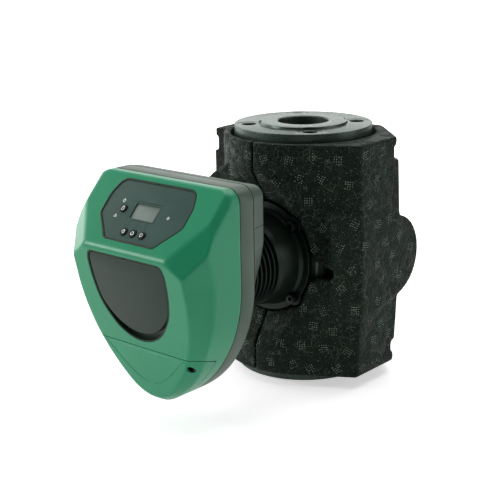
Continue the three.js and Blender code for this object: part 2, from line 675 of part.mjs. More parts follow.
const covers = buildCovers();
add(motor, 'front_cover', covers.front, greenPaint);
add(motor, 'terminal_cover', covers.terminal, greenPaint);
screwPoints.forEach(([x, y], i) => {
  const side = i === 0 ? 'left' : 'right';
  const screw = cut(
    join(rodZ(4.1, 292.6 + 5, 301, x, y, 16), rodZ(2.4, 262, 298, x, y, 10)),
    block([x - 3, x + 3], [y - 0.6, y + 0.6], [299.6, 302]),
  );
  add(motor, `terminal_screw_${side}`, screw, steel);
});

const plateWall = common(throughFront(plateOutline(2.2)), frontLayer(0.3, 9));
const plateSeat = common(throughFront(plateOutline(0.4)), frontLayer(-5, 7.4));
add(motor, 'name_plate_surround', cut(plateWall, plateSeat), bezelPlastic);
add(motor, 'name_plate', common(throughFront(plateOutline(0, -42)), frontLayer(1.6, 7)), darkPlastic);

// Housing behind the seam: a full-width rim, and a body that narrows towards the motor.
function housingForm(inset) {
  const points = shieldPoints(inset).filter(([, y]) => y < 84)
    .map(([x, y]) => new THREE.Vector3(x, y, COVER_SEAM + 6));
  const rear = mirrored([[30, -124], [57, -90], [68, -72], [82, -30], [90, 8], [96, 36], [101, 60], [102, 85]]);
  rear.forEach(([x, y]) => points.push(
    new THREE.Vector3(x - Math.sign(x) * inset, y > 0 ? y : y + inset, HEAD_BACK + inset)));
  points.push(new THREE.Vector3(SHIELD_HALF_WIDTH - inset, 85, COVER_SEAM));
  points.push(new THREE.Vector3(inset - SHIELD_HALF_WIDTH, 85, COVER_SEAM));
  return common(solidOf(new ConvexGeometry(points)), block([-120, 120], [-150, 85.4 - inset], [200, 240]));
}

const shieldShape = (inset) => polygon(shieldPoints(inset));
const glandPoints = [[-26, -76], [26, -76]];

function buildHousing() {
  const rim = slab(shieldShape(0), COVER_SEAM + GAP, HEAD_SEAM - GAP);
  const bulkhead = cut(slab(shieldShape(1), COVER_SEAM + GAP, COVER_SEAM + 3.4), block([-120, 120], [-150, 82], [200, 260]));
  const rimHollow = slab(shieldShape(HEAD_WALL), COVER_SEAM - 5, HEAD_SEAM + 5);
  const body = cut(housingForm(0), slab(shieldShape(HEAD_WALL), COVER_SEAM + 5, HEAD_SEAM), housingForm(HEAD_WALL));
  const posts = join(...screwPoints.map(([x, y]) => cut(rodZ(4.6, 222, 274, x, y, 12), rodZ(2.8, 258, 275, x, y, 10))));
  return cut(
    join(cut(rim, rimHollow), bulkhead, body, common(posts, slab(shieldShape(HEAD_WALL + 2.4), 200, 280))),
    rodZ(18, 200, 215, 0, 0, 24),
    ...glandPoints.map(([x, y]) => rodZ(8.4, 195, 215, x, y, 16)),
  );
}

function topCoverForm(inset) {
  const front = shieldPoints(inset).filter(([, y]) => y > 80).map(([x, y]) => new THREE.Vector3(x, y, COVER_SEAM));
  const rear = mirrored([[102 - inset, 86], [102 - inset, 124 - inset], [92 - inset, 134 - inset]])
    .map(([x, y]) => new THREE.Vector3(x, y, HEAD_BACK + inset));
  const low = [-1, 1].map((side) => new THREE.Vector3(side * (SHIELD_HALF_WIDTH - inset), 86, COVER_SEAM));
  return common(solidOf(new ConvexGeometry([...front, ...rear, ...low])), block([-120, 120], [86 + inset, 140], [200, 260]));
}

add(motor, 'control_housing', buildHousing(), greyPaint);
add(motor, 'rear_top_cover', cut(topCoverForm(0), join(topCoverForm(HEAD_WALL), common(
  topCoverForm(HEAD_WALL).translate([0, 0, 4]), block([-120, 120], [80, 140], [220, 240])))), greyPaint);
add(motor, 'cover_gasket', cut(slab(shieldShape(HEAD_WALL + GAP), 250, 255.6),
  slab(shieldShape(HEAD_WALL + 2), 245, 262)), rubber);

// Electronics inside the head
add(motor, 'heat_spreader', block([-80, 80], [90.5, 127], [216, 228]), aluminium);
add(motor, 'power_board', common(slab(shieldShape(12), 226, 228), block([-90, 90], [-70, 80], [200, 300])), circuitBoard);
add(motor, 'power_module', block([-35, 35], [38, 70], [228.4, 238]), rubber);
add(motor, 'choke', ring(9, 19, 229, 243, 20).translate([-50, -10, 0]), copper);
[[30, 8], [56, 8], [43, -20]].forEach(([x, y], i) => {
  add(motor, `capacitor_${i + 1}`, rodZ(11, 228.4, 262, x, y, 16), magnet);
});
add(motor, 'terminal_block', block([-38, 38], [-92, -74], [236, 256]), plastic);

// Cable glands under the back of the head, pointing back towards the pump
glandPoints.forEach(([x, y], i) => {
  const side = i === 0 ? 'left' : 'right';
  const body = cut(join(rodZ(8, 194, 213, x, y, 16), rodZ(13, 199, HEAD_BACK - GAP, x, y, 6)), rodZ(5, 190, 216, x, y, 12));
  add(motor, `gland_body_${side}`, body, rubber);
  const nut = cut(rodZ(12, 184, 198.6, x, y, 12), rodZ(8 + GAP, 190, 199, x, y, 16), rodZ(5.4, 180, 200, x, y, 12));
  add(motor, `gland_nut_${side}`, nut, rubber);
});

// ---------------------------------------------------------------- control panel group

const displaySize = { x: 22.4, low: -11.4, high: 14.1 };
const buttonPoints = {
  button_mode: [MODE_BUTTON.x, MODE_BUTTON.y],
  button_left: [-BUTTON_STEP, BUTTON_ROW],
  button_middle: [0, BUTTON_ROW],
  button_right: [BUTTON_STEP, BUTTON_ROW],
};
const buttonHoles = Object.values(buttonPoints).map(([x, y]) => rodZ(BUTTON_RADIUS + GAP, -20, 5, x, y, 20));

add(panel, 'panel_bezel', cut(slab(panelOutline(2.6), -6, 0.3, 5), slab(panelOutline(0.3), -8, 3, 5)), bezelPlastic);
add(panel, 'control_panel', cut(slab(panelOutline(-0.1), -3, -0.5, 5), ...buttonHoles,
  block([-displaySize.x, displaySize.x], [displaySize.low, displaySize.high], [-5, 2])), panelFilm);
add(panel, 'lcd_window', block([GAP - displaySize.x, displaySize.x - GAP],
  [displaySize.low + GAP, displaySize.high - GAP], [-2.8, -0.8]), glass);
add(panel, 'lcd_module', block([-25, 25], [-13, 15.5], [-8, -3.4]), aluminium);
add(panel, 'display_board', cut(slab(panelOutline(-10), -14, -12.4, 4), rodZ(3, -16, -10, -50, 20, 10)), circuitBoard);
Object.entries(buttonPoints).forEach(([name, [x, y]], i) => {
  const cap = turned([[0, -4.4], [BUTTON_RADIUS - 0.5, -4.4], [BUTTON_RADIUS, -4], [BUTTON_RADIUS, 0.3],
    [BUTTON_RADIUS - 0.6, 0.9], [0, 0.9]], 20);
  add(panel, name, cap, rubber).position.set(x, y, 0);
  const base = join(block([-3, 3], [-3, 3], [-12, -8.4]), rodZ(1.7, -9, -4.8 - BUTTON_TRAVEL, 0, 0, 10));
  add(panel, `switch_${i + 1}`, base, plastic).position.set(x, y, 0);
});

export default pump;
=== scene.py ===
"""Looks of a flanged in-line circulator pump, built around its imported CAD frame.

Shapes are worked out in millimetres and become metres when a mesh is made. Two local frames
are used: the head's, with x to the right, y up from the motor axis and d forward along it,
and the control panel's, with x across, v up the slope and n proud of its face.
"""

import json
import math
from random import Random

import bmesh
import bpy
import numpy as np
from mathutils import Matrix, Vector
from mathutils.bvhtree import BVHTree


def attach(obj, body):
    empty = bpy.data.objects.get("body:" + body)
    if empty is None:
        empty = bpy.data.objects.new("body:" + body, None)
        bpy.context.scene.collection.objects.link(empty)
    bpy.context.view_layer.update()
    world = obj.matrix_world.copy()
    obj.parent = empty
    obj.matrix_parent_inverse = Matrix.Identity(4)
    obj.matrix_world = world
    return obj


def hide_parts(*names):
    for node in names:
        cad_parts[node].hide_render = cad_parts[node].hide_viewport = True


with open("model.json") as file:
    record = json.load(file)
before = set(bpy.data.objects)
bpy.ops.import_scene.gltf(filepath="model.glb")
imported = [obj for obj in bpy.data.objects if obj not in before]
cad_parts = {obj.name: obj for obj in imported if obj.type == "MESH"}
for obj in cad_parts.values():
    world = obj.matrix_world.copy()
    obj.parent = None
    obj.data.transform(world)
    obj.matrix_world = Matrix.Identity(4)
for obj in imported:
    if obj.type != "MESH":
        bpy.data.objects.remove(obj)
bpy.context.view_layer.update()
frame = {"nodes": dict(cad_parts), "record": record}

# -------------------- dimensions

MM = 0.001
AXIS_Z = 170.0
FACE_TO_FACE = 340.0

FLANGE_RADIUS = 92.5
FLANGE_INNER_FACE = 23.0
RAISED_FACE_RADIUS = 59.0
RAISED_FACE_HEIGHT = 3.0
BORE_RADIUS = 34.0
BOLT_CIRCLE_RADIUS = 72.5
BOLT_HOLE_RADIUS = 9.5
SPOT_FACE_RADIUS = 17.0

MOTOR_FACE = 75.4
MOTOR_FLANGE_FRONT = 83.5
MOTOR_FLANGE_RADIUS = 74.0
LUG_CIRCLE_RADIUS = 69.0
LUG_RADIUS = 11.0
RIB_RADIUS = 57.0
RIB_ROOT_RADIUS = 51.5
RIB_START = 123.5
RIB_PITCH = 8.5
RIB_COUNT = 8
MOTOR_END = 205.6
LUG_ANGLES = (45, 135, 225, 315)

HEAD_BACK = 206.0
COVER_SEAM = 232.0
HEAD_SEAM = 256.0
SEAM_GAP = 0.45
HALF_WIDTH = 110.0
SHIELD_TOP = 137.0
SHIELD_CORNER = 18.0
ARC_HEIGHT = 20.0
ARC_RADIUS = 176.0
TIP_RADIUS = 40.0
HEAD_WALL = 3.0
FRONT_HALF_WIDTH = 91.0
FRONT_ARC_RADIUS = 195.0
FRONT_TIP_RADIUS = 50.0
FRONT_DEPTH = 341.4
FRONT_DEPTH_HEIGHT = 68.0
FRONT_LEAN = 0.226
TOP_COVER_HEIGHT = 85.7

PANEL_TILT = math.radians(44)
PANEL_CENTRE = (0.0, 102.0, 301.5)
PRINT_HEIGHT = -0.38
BUTTON_RADIUS = 5.3
BUTTON_MARK_HEIGHT = 1.02
BUTTONS = {
    "button_mode": (-35.1, 1.0),
    "button_left": (-15.1, -28.4),
    "button_middle": (0.0, -28.4),
    "button_right": (15.1, -28.4),
}
BUTTON_MARKS = {
    "button_mode": ((-1.7, -2.6), (1.7, -2.6), (1.7, 0.5), (0.3, 2.9), (-1.7, 0.5)),
    "button_left": ((-2.4, 0), (0.2, -2.3), (1.8, -1.7), (1.8, 1.7), (0.2, 2.3)),
    "button_middle": ((0, 2.6), (-2.2, 0.7), (-1.7, -2.0), (1.7, -2.0), (2.2, 0.7)),
    "button_right": ((2.4, 0), (-0.2, 2.3), (-1.8, 1.7), (-1.8, -1.7), (-0.2, -2.3)),
}
TERMINAL_SCREWS = ((-71.0, -76.0), (71.0, -76.0))
GLANDS = ((-26.0, -76.0), (26.0, -76.0))

VENT_ROWS, VENT_COLUMNS = 11, 23
VENT_START, VENT_RISE = 28.0, 28.0
PIP_SPACING = 3.0
PIP_RADIUS = 0.72

# -------------------- studio

# Specular tint of most finishes: their reflections are painted green, standing in for the greenish cast of
# the studio light.
PAINTED_GREEN_REFLECTION_TINT = (0.78, 1.0, 0.86, 1.0)
FLOOR_REACH, FLOOR_LEVEL, FLOOR_GLOW = 60000, -0.6, 0.3
WORLD_LIGHT = 0.1
LIGHTS = {
    "top": ((-0.2, 0.5, 2.4), (3.0, 3.0), 70),
    "backdrop": ((-2.1, 2.5, 1.1), (3.2, 1.2), 22),
    "left": ((-2.0, -0.1, 0.8), (1.2, 1.4), 19),
    "key": ((-1.5, -1.75, 1.0), (0.9, 0.7), 26),
    "right": ((1.9, 0.9, 0.8), (1.2, 1.2), 10),
}
CAMERA_PLACE = (0.97306, -1.23456, 0.60927)
CAMERA_ANGLES = (40.95, 15.97, -0.96)
CAMERA_LENS = 85.09


# -------------------- frames


def on_circle(radius, degrees):
    """The point of a circle about the origin at an angle in degrees."""
    return radius * math.cos(math.radians(degrees)), radius * math.sin(math.radians(degrees))


def from_head(x, y, d):
    """Row-frame points, in millimetres, of points given in the head's frame."""
    x, y, d = np.broadcast_arrays(*(np.asarray(v, float) for v in (x, y, d)))
    return np.stack([x, -d, AXIS_Z + y], axis=-1)


def from_panel(x, v, n):
    """Row-frame points of points given in the control panel's frame."""
    x, v, n = (np.asarray(a, float) for a in (x, v, n))
    cosine, sine = math.cos(PANEL_TILT), math.sin(PANEL_TILT)
    y = PANEL_CENTRE[1] + v * cosine + n * sine
    d = PANEL_CENTRE[2] - v * sine + n * cosine
    return from_head(x, y, d)


def upright(x, y, z):
    """Row-frame points, unchanged: for pieces made directly about the pipe axis."""
    x, y, z = np.broadcast_arrays(*(np.asarray(a, float) for a in (x, y, z)))
    return np.stack([x, y, z], axis=-1)


def front_depth(y):
    """How far forward the leaning front plane is at height y."""
    return FRONT_DEPTH - FRONT_LEAN * (FRONT_DEPTH_HEIGHT - y)


def on_front(x, y, n):
    """Row-frame points n proud of the leaning front plane."""
    x, y, n = (np.asarray(a, float) for a in (x, y, n))
    return from_head(x, y, front_depth(y) + n)


# -------------------- mesh helpers


def make_object(name, points, faces, material=None):
    """A closed mesh object from row-frame points in millimetres."""
    mesh = bpy.data.meshes.new(name)
    mesh.from_pydata((np.asarray(points, float).reshape(-1, 3) * MM).tolist(), [], faces)
    edit = bmesh.new()
    edit.from_mesh(mesh)
    bmesh.ops.remove_doubles(edit, verts=edit.verts, dist=1e-6)
    bmesh.ops.recalc_face_normals(edit, faces=edit.faces)
    edit.to_mesh(mesh)
    edit.free()
    obj = bpy.data.objects.new(name, mesh)
    bpy.context.scene.collection.objects.link(obj)
    if material:
        mesh.materials.append(material)
    return obj


def apply_modifiers(obj):
    depsgraph = bpy.context.evaluated_depsgraph_get()
    mesh = bpy.data.meshes.new_from_object(obj.evaluated_get(depsgraph))
    obj.modifiers.clear()
    obj.data = mesh


def boolean(target, tool, operation="DIFFERENCE"):
    modifier = target.modifiers.new("cut", "BOOLEAN")
    modifier.operation = operation
    modifier.solver = "MANIFOLD"
    modifier.object = tool
    apply_modifiers(target)
    bpy.data.objects.remove(tool)
    return target


def duplicate(obj, name):
    copy = bpy.data.objects.new(name, obj.data.copy())
    bpy.context.scene.collection.objects.link(copy)
    return copy


def join(name, *objects):
    """One object from several; their meshes keep their own materials."""
    merged = bmesh.new()
    materials = []
    for obj in objects:
        start = len(merged.faces)
        merged.from_mesh(obj.data)
        merged.faces.ensure_lookup_table()
        for face in merged.faces[start:]:
            own = obj.data.materials[face.material_index] if obj.data.materials else None
            if own not in materials:
                materials.append(own)
            face.material_index = materials.index(own)
    mesh = bpy.data.meshes.new(name)
    merged.to_mesh(mesh)
    merged.free()
    for material in materials:
        mesh.materials.append(material)
    for obj in objects:
        bpy.data.objects.remove(obj)
    result = bpy.data.objects.new(name, mesh)
    bpy.context.scene.collection.objects.link(result)
    return result


def smooth(obj, angle=32):
    obj.data.shade_smooth()
    obj.data.set_sharp_from_angle(angle=math.radians(angle))
    return obj


def ring_faces(count, size):
    """Quads between count rings of size points each."""
    faces = []
    for ring in range(count - 1):
        for i in range(size):
            j = (i + 1) % size
            faces.append((ring * size + i, ring * size + j, (ring + 1) * size + j, (ring + 1) * size + i))
    return faces


def loft(name, rings, material=None, caps=True):
    """A skin over rings of equal size, closed at both ends unless caps is False."""
    size = len(rings[0])
    faces = ring_faces(len(rings), size)
    if caps:
        faces.append(tuple(range(size)))
        faces.append(tuple(range((len(rings) - 1) * size, len(rings) * size)))
    return make_object(name, np.concatenate(rings), faces, material)


def circle(radius, count, x=0.0, y=0.0, phase=0.0):
    angles = np.arange(count) * 2 * math.pi / count + phase
    return np.stack([x + radius * np.cos(angles), y + radius * np.sin(angles)], axis=-1)


def rounded(corners, steps=7, closed=True):
    """A path of [x, y, radius] corners with each corner rounded off."""
    corners = np.asarray(corners, float)
    path = []
    count = len(corners)
    for i, (x, y, radius) in enumerate(corners):
        here = np.array([x, y])
        if radius <= 0 or (not closed and i in (0, count - 1)):
            path.append(here)
            continue
        before = corners[i - 1][:2] - here
        after = corners[(i + 1) % count][:2] - here
        lengths = np.linalg.norm(before), np.linalg.norm(after)
        before, after = before / lengths[0], after / lengths[1]
        half = math.acos(np.clip(before @ after, -1, 1)) / 2
        reach = min(radius / max(math.tan(half), 1e-6), 0.49 * min(lengths))
        start, end = here + before * reach, here + after * reach
        for t in np.linspace(0, 1, steps):
            path.append((1 - t) ** 2 * start + 2 * t * (1 - t) * here + t * t * end)
    return np.array(path)


def turned(name, profile, place, segments=96, closed=True, centre=(0.0, 0.0), material=None):
    """A profile of (radius, height) points turned about an axis; place maps it to the row."""
    profile = np.asarray(profile, float)
    if closed:
        profile = np.vstack([profile, profile[:1]])
    rings = []
    for radius, height in profile:
        ring = circle(radius, segments, *centre)
        rings.append(place(ring[:, 0], ring[:, 1], height))
    return loft(name, rings, material, caps=False)


def inset_outline(outline, inset):
    """The outline moved inwards by inset, for a counter-clockwise outline."""
    before = outline - np.roll(outline, 1, axis=0)
    after = np.roll(outline, -1, axis=0) - outline
    normals = []
    for edge in (before, after):
        length = np.maximum(np.linalg.norm(edge, axis=1, keepdims=True), 1e-9)
        normals.append(np.stack([-edge[:, 1], edge[:, 0]], axis=-1) / length)
    normal = normals[0] + normals[1]
    normal /= np.maximum(np.linalg.norm(normal, axis=1, keepdims=True), 1e-9)
    lean = np.maximum((normal * normals[0]).sum(axis=1, keepdims=True), 0.5)
    return outline + inset * normal / lean


def plate(name, outline, low, high, place, rim=0.0, foot=0.0, material=None):
    """A flat piece with a rounded upper rim and, where foot is given, a rounded lower one."""
    levels = [(0.0, low)]
    if foot:
        levels = [(foot * (1 - math.sin(a)), low + foot * (1 - math.cos(a)))
                  for a in (0, 0.5, 1.05, math.pi / 2)]
    if rim:
        levels += [(rim * (1 - math.cos(a)), high - rim * (1 - math.sin(a)))
                   for a in (0, 0.4, 0.8, 1.2, math.pi / 2)]
    else:
        levels += [(0.0, high)]
    rings = []
    for inset, height in levels:
        ring = inset_outline(outline, inset) if inset else outline
        rings.append(place(ring[:, 0], ring[:, 1], height))
    return loft(name, rings, material)


def block(name, low, high):
    low, high = np.array(low, float), np.array(high, float)
    corners = [(x, y, z) for z in (low[2], high[2]) for x, y in
               ((low[0], low[1]), (high[0], low[1]), (high[0], high[1]), (low[0], high[1]))]
    return loft(name, [np.array(corners[:4]), np.array(corners[4:])])


def rod(name, radius, low, high, place, centre=(0.0, 0.0), segments=40):
    return turned(name, [(0, low), (radius, low), (radius, high), (0, high)], place, segments, False, centre)


def spline(points, count):
    """A smooth curve of count points through the given ones."""
    points = np.asarray(points, float)
    ends = np.vstack([2 * points[0] - points[1], points, 2 * points[-1] - points[-2]])
    out = []
    for t in np.linspace(0, len(points) - 1, count):
        i = min(int(t), len(points) - 2)
        u = t - i
        a, b, c, e = ends[i:i + 4]
        out.append(0.5 * (2 * b + (c - a) * u + (2 * a - 5 * b + 4 * c - e) * u ** 2
                          + (3 * b - a - 3 * c + e) * u ** 3))
    return np.array(out)


def tube(name, path, radius, sides=10, material=None):
    """A round tube along a path of row-frame points."""
    path = np.asarray(path, float)
    tangents = np.gradient(path, axis=0)
    tangents /= np.linalg.norm(tangents, axis=1, keepdims=True)
    side = np.cross(tangents[0], [0.3, 0.2, 1.0])
    rings = []
    for point, tangent in zip(path, tangents):
        side = side - tangent * (side @ tangent)
        side /= np.linalg.norm(side)
        other = np.cross(tangent, side)
        ring = circle(radius, sides)
        rings.append(point + ring[:, :1] * side + ring[:, 1:] * other)
    return loft(name, rings, material)


# -------------------- materials


class Finish:
    """A node material: one Principled shader and the nodes that drive it."""

    def __init__(self, name, **constants):
        self.material = bpy.data.materials.new(name)
        self.material.use_nodes = True
        self.tree = self.material.node_tree
        self.shader = self.tree.nodes["Principled BSDF"]
        for socket, value in constants.items():
            self.shader.inputs[socket.replace("_", " ")].default_value = value
        coordinates = self.tree.nodes.new("ShaderNodeTexCoord")
        self.place = coordinates.outputs["Object"]

    def link(self, source, target):
        self.tree.links.new(source, target)

    def set(self, node, **inputs):
        for name, value in inputs.items():
            socket = node.inputs[name.replace("_", " ")]
            if isinstance(value, bpy.types.NodeSocket):
                self.link(value, socket)
            else:
                socket.default_value = value
        return node

    def noise(self, size, detail=3.0, roughness=0.55, place=None):
        """Noise from 0 to 1 with features of about size millimetres."""
        node = self.tree.nodes.new("ShaderNodeTexNoise")
        self.set(node, Vector=place or self.place, Scale=1 / (size * MM), Detail=detail, Roughness=roughness)
        return node.outputs["Fac"]

    def cells(self, size, feature="F1", output="Distance", place=None, randomness=1.0):
        node = self.tree.nodes.new("ShaderNodeTexVoronoi")
        node.feature = feature
        self.set(node, Vector=place or self.place, Scale=1 / (size * MM), Randomness=randomness)
        return node.outputs[output]

    def maths(self, operation, first, second=0.0, clamp=False):
        node = self.tree.nodes.new("ShaderNodeMath")
        node.operation = operation
        node.use_clamp = clamp
        for socket, value in zip(node.inputs, (first, second)):
            if isinstance(value, bpy.types.NodeSocket):
                self.link(value, socket)
            else:
                socket.default_value = value
        return node.outputs[0]

    def remap(self, value, low, high, to_low=0.0, to_high=1.0):
        node = self.tree.nodes.new("ShaderNodeMapRange")
        node.interpolation_type = "SMOOTHSTEP"
        for socket, item in zip(node.inputs, (value, low, high, to_low, to_high)):
            if isinstance(item, bpy.types.NodeSocket):
                self.link(item, socket)
            else:
                socket.default_value = item
        return node.outputs[0]

    def ramp(self, value, *stops):
        """Colours along value: stops are (position, (r, g, b))."""
        node = self.tree.nodes.new("ShaderNodeValToRGB")
        while len(node.color_ramp.elements) < len(stops):
            node.color_ramp.elements.new(0.5)
        for element, (position, colour) in zip(node.color_ramp.elements, stops):
            element.position = position
            element.color = (*colour, 1)
        self.link(value, node.inputs["Fac"])
        return node.outputs["Color"]

    def blend(self, factor, first, second):
        node = self.tree.nodes.new("ShaderNodeMix")
        node.data_type = "RGBA"
        for socket, item in ((node.inputs[0], factor), (node.inputs[6], first), (node.inputs[7], second)):
            if isinstance(item, bpy.types.NodeSocket):
                self.link(item, socket)
            elif isinstance(item, tuple):
                socket.default_value = (*item, 1)
            else:
                socket.default_value = item
        return node.outputs[2]

    def edges(self):
        """0 on flat ground, towards 1 on sharp outward edges."""
        geometry = self.tree.nodes.new("ShaderNodeNewGeometry")
        return self.remap(geometry.outputs["Pointiness"], 0.52, 0.62)

    def finish(self, colour, roughness, height=None, strength=0.2, distance=0.1):
        self.link(colour, self.shader.inputs["Base Color"])
        self.link(roughness, self.shader.inputs["Roughness"])
        if height is not None:
            bump = self.tree.nodes.new("ShaderNodeBump")
            self.set(bump, Height=height, Strength=strength, Distance=distance * MM)
            self.link(bump.outputs["Normal"], self.shader.inputs["Normal"])
        return self.material


def scaled(colour, factor):
    return tuple(min(1.0, c * factor) for c in colour)


def moulded(name, colour, roughness, grain=0.7, depth=0.05, gloss=0.35, variation=0.12):
    """Injection-moulded plastic: fine spark-eroded grain, faint flow shading, scuffed edges."""
    # Reflections carry the painted green tint that stands in for the studio light's cast.
    look = Finish(name, Specular_IOR_Level=gloss, Specular_Tint=PAINTED_GREEN_REFLECTION_TINT)
    broad = look.noise(60, 2)
    fine = look.noise(grain, 2)
    shade = look.ramp(broad, (0.3, scaled(colour, 1 - variation)), (0.7, scaled(colour, 1 + variation)))
    speck = look.blend(look.remap(fine, 0.35, 0.75, 0.0, 0.25), shade, scaled(colour, 1.25))
    worn = look.blend(look.maths("MULTIPLY", look.edges(), 0.35), speck, scaled(colour, 1.6))
    rough = look.remap(look.noise(40, 1), 0.2, 0.8, roughness - 0.02, roughness + 0.02)
    return look.finish(worn, rough, fine, 0.35, depth)


def cast_metal(name, colour, roughness, metallic, grain=1.6, depth=0.25, lift=1.7, gloss=0.5):
    """Painted or bare casting: sandy skin, soft blotches and paint thinned on its edges."""
    # Reflections carry the painted green tint that stands in for the studio light's cast.
    look = Finish(name, Metallic=metallic, Specular_IOR_Level=gloss, Specular_Tint=PAINTED_GREEN_REFLECTION_TINT)
    sand = look.noise(grain, 6, 0.65)
    blotch = look.noise(24, 4)
    shade = look.ramp(blotch, (0.3, scaled(colour, 0.75)), (0.7, scaled(colour, 1.25)))
    worn = look.blend(look.maths("MULTIPLY", look.edges(), 0.6), shade, scaled(colour, lift))
    rough = look.remap(sand, 0.3, 0.7, roughness - 0.08, roughness + 0.12)
    return look.finish(worn, rough, sand, 0.5, depth)


def machined(name, colour, roughness, spacing=0.5, across=(0, 1, 1)):
    """Turned or milled metal: fine tool lines with a little staining."""
    look = Finish(name, Metallic=0.9)
    stretch = look.tree.nodes.new("ShaderNodeMapping")
    look.set(stretch, Vector=look.place, Scale=tuple(1.0 if a else 0.02 for a in across))
    lines = look.noise(spacing, 2, 0.5, stretch.outputs["Vector"])
    stain = look.noise(15, 5)
    shade = look.ramp(stain, (0.3, scaled(colour, 0.8)), (0.7, scaled(colour, 1.1)))
    rough = look.remap(lines, 0.3, 0.7, roughness - 0.08, roughness + 0.1)
    return look.finish(shade, rough, lines, 0.25, 0.04)


def foam(name, colour, light):
    """Moulded bead foam: pressed beads with paler seams, no two beads quite alike."""
    # Reflections carry the painted green tint that stands in for the studio light's cast.
    look = Finish(name, Specular_IOR_Level=0.17, Specular_Tint=PAINTED_GREEN_REFLECTION_TINT)
    wobble = look.tree.nodes.new("ShaderNodeVectorMath")
    wobble.operation = "MULTIPLY_ADD"
    noise = look.tree.nodes.new("ShaderNodeTexNoise")
    look.set(noise, Vector=look.place, Scale=1 / (9 * MM), Detail=3.0)
    look.link(noise.outputs["Color"], wobble.inputs[0])
    wobble.inputs[1].default_value = (0.006, 0.006, 0.006)
    look.link(look.place, wobble.inputs[2])
    place = wobble.outputs[0]
    border = look.cells(8.5, "DISTANCE_TO_EDGE", "Distance", place)
    tint = look.cells(8.5, "F1", "Color", place)
    split = look.tree.nodes.new("ShaderNodeSeparateColor")
    look.link(tint, split.inputs[0])
    own, other = split.outputs[0], split.outputs[1]
    shade = look.ramp(own, (0.0, scaled(colour, 0.45)), (0.6, colour), (1.0, scaled(colour, 2.0)))
    patches = look.remap(look.noise(22, 3), 0.38, 0.62)
    seam = look.maths("MULTIPLY", look.remap(border, 0.0, 0.08, 1.0, 0.0), look.remap(other, 0.35, 0.9))
    seam = look.maths("MULTIPLY", seam, look.remap(patches, 0.0, 1.0, 0.05, 0.34))
    flecks = look.remap(look.noise(1.9, 3, 0.6), 0.61, 0.69)
    marks = look.maths("MAXIMUM", seam, look.maths("MULTIPLY", flecks, 0.7))
    colours = look.blend(marks, shade, light)
    rough = look.remap(own, 0.0, 1.0, 0.5, 0.8)
    swell = look.maths("ADD", look.remap(border, 0.0, 0.2), look.maths("MULTIPLY", own, 0.7))
    swell = look.maths("ADD", swell, look.maths("MULTIPLY", look.noise(1.2, 4), 0.35))
    return look.finish(colours, rough, swell, 0.8, 0.5)


def glassy(name, colour, roughness):
    look = Finish(name, Coat_Weight=0.1, Coat_Roughness=0.2)
    haze = look.noise(20, 3)
    shade = look.ramp(haze, (0.3, scaled(colour, 0.92)), (0.7, scaled(colour, 1.06)))
    rough = look.remap(haze, 0.3, 0.7, roughness - 0.04, roughness + 0.05)
    return look.finish(shade, rough, look.noise(0.4, 1), 0.05, 0.01)


MATERIALS = {
    "iron": cast_metal("cast_iron_grey", (0.026, 0.038, 0.030), 0.3, 0.2, 1.6, 0.05, 1.5, 0.6),
    "steel": machined("turned_steel", (0.55, 0.56, 0.57), 0.3),
    "insulation_foam": foam("bead_foam", (0.0034, 0.0068, 0.0042), (0.16, 0.20, 0.16)),
    "motor_paint": cast_metal("motor_paint", (0.002, 0.0045, 0.003), 0.34, 0.0, 1.4, 0.08, 2.5, 0.22),
    "magnet": cast_metal("magnet_grey", (0.05, 0.05, 0.055), 0.4, 0.6),
    "ceramic": moulded("ceramic", (0.78, 0.74, 0.66), 0.3, 0.5, 0.02),
    "rubber": moulded("rubber", (0.015, 0.015, 0.015), 0.65, 0.9, 0.05),
    "laminated_steel": machined("laminated_steel", (0.25, 0.26, 0.27), 0.4, 0.6, (0, 1, 0)),
    "copper": machined("copper_wire", (0.55, 0.22, 0.08), 0.35, 1.1, (0, 1, 0)),
    "grey_housing": moulded("grey_housing", (0.060, 0.086, 0.066), 0.42, 0.6, 0.04),
    "green_cover": moulded("green_cover", (0.013, 0.215, 0.102), 0.34, 0.55, 0.02, 0.38, 0.04),
    "dark_plate": moulded("dark_plate", (0.013, 0.023, 0.016), 0.42, 0.5, 0.02, 0.25),
    "panel_film": moulded("panel_film", (0.028, 0.058, 0.050), 0.5, 0.5, 0.02, 0.25),
    "display_window": glassy("display_window", (0.15, 0.19, 0.165), 0.45),
    "black_plastic": moulded("black_plastic", (0.005, 0.006, 0.0055), 0.42, 0.6, 0.03, 0.2),
    "light_plastic": moulded("light_plastic", (0.25, 0.27, 0.24), 0.5, 0.6, 0.04),
    "circuit_board": moulded("circuit_board", (0.01, 0.09, 0.04), 0.4, 1.5, 0.03),
    "aluminium": machined("milled_aluminium", (0.6, 0.61, 0.62), 0.35),
}
PRINT_WHITE = moulded("printed_white", (0.62, 0.66, 0.63), 0.5, 0.5, 0.01)
PIP_GREY = moulded("vent_pip", (0.19, 0.235, 0.20), 0.5, 0.8, 0.02)
BLACK_STEEL = machined("blackened_steel", (0.03, 0.033, 0.032), 0.35)


def settle(obj, body, slot, *replaced):
    """Gives a finished piece its body and hides the nodes it stands for; its slot is not used."""
    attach(obj, body)
    if replaced:
        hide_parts(*replaced)
    return obj


# -------------------- the head's form


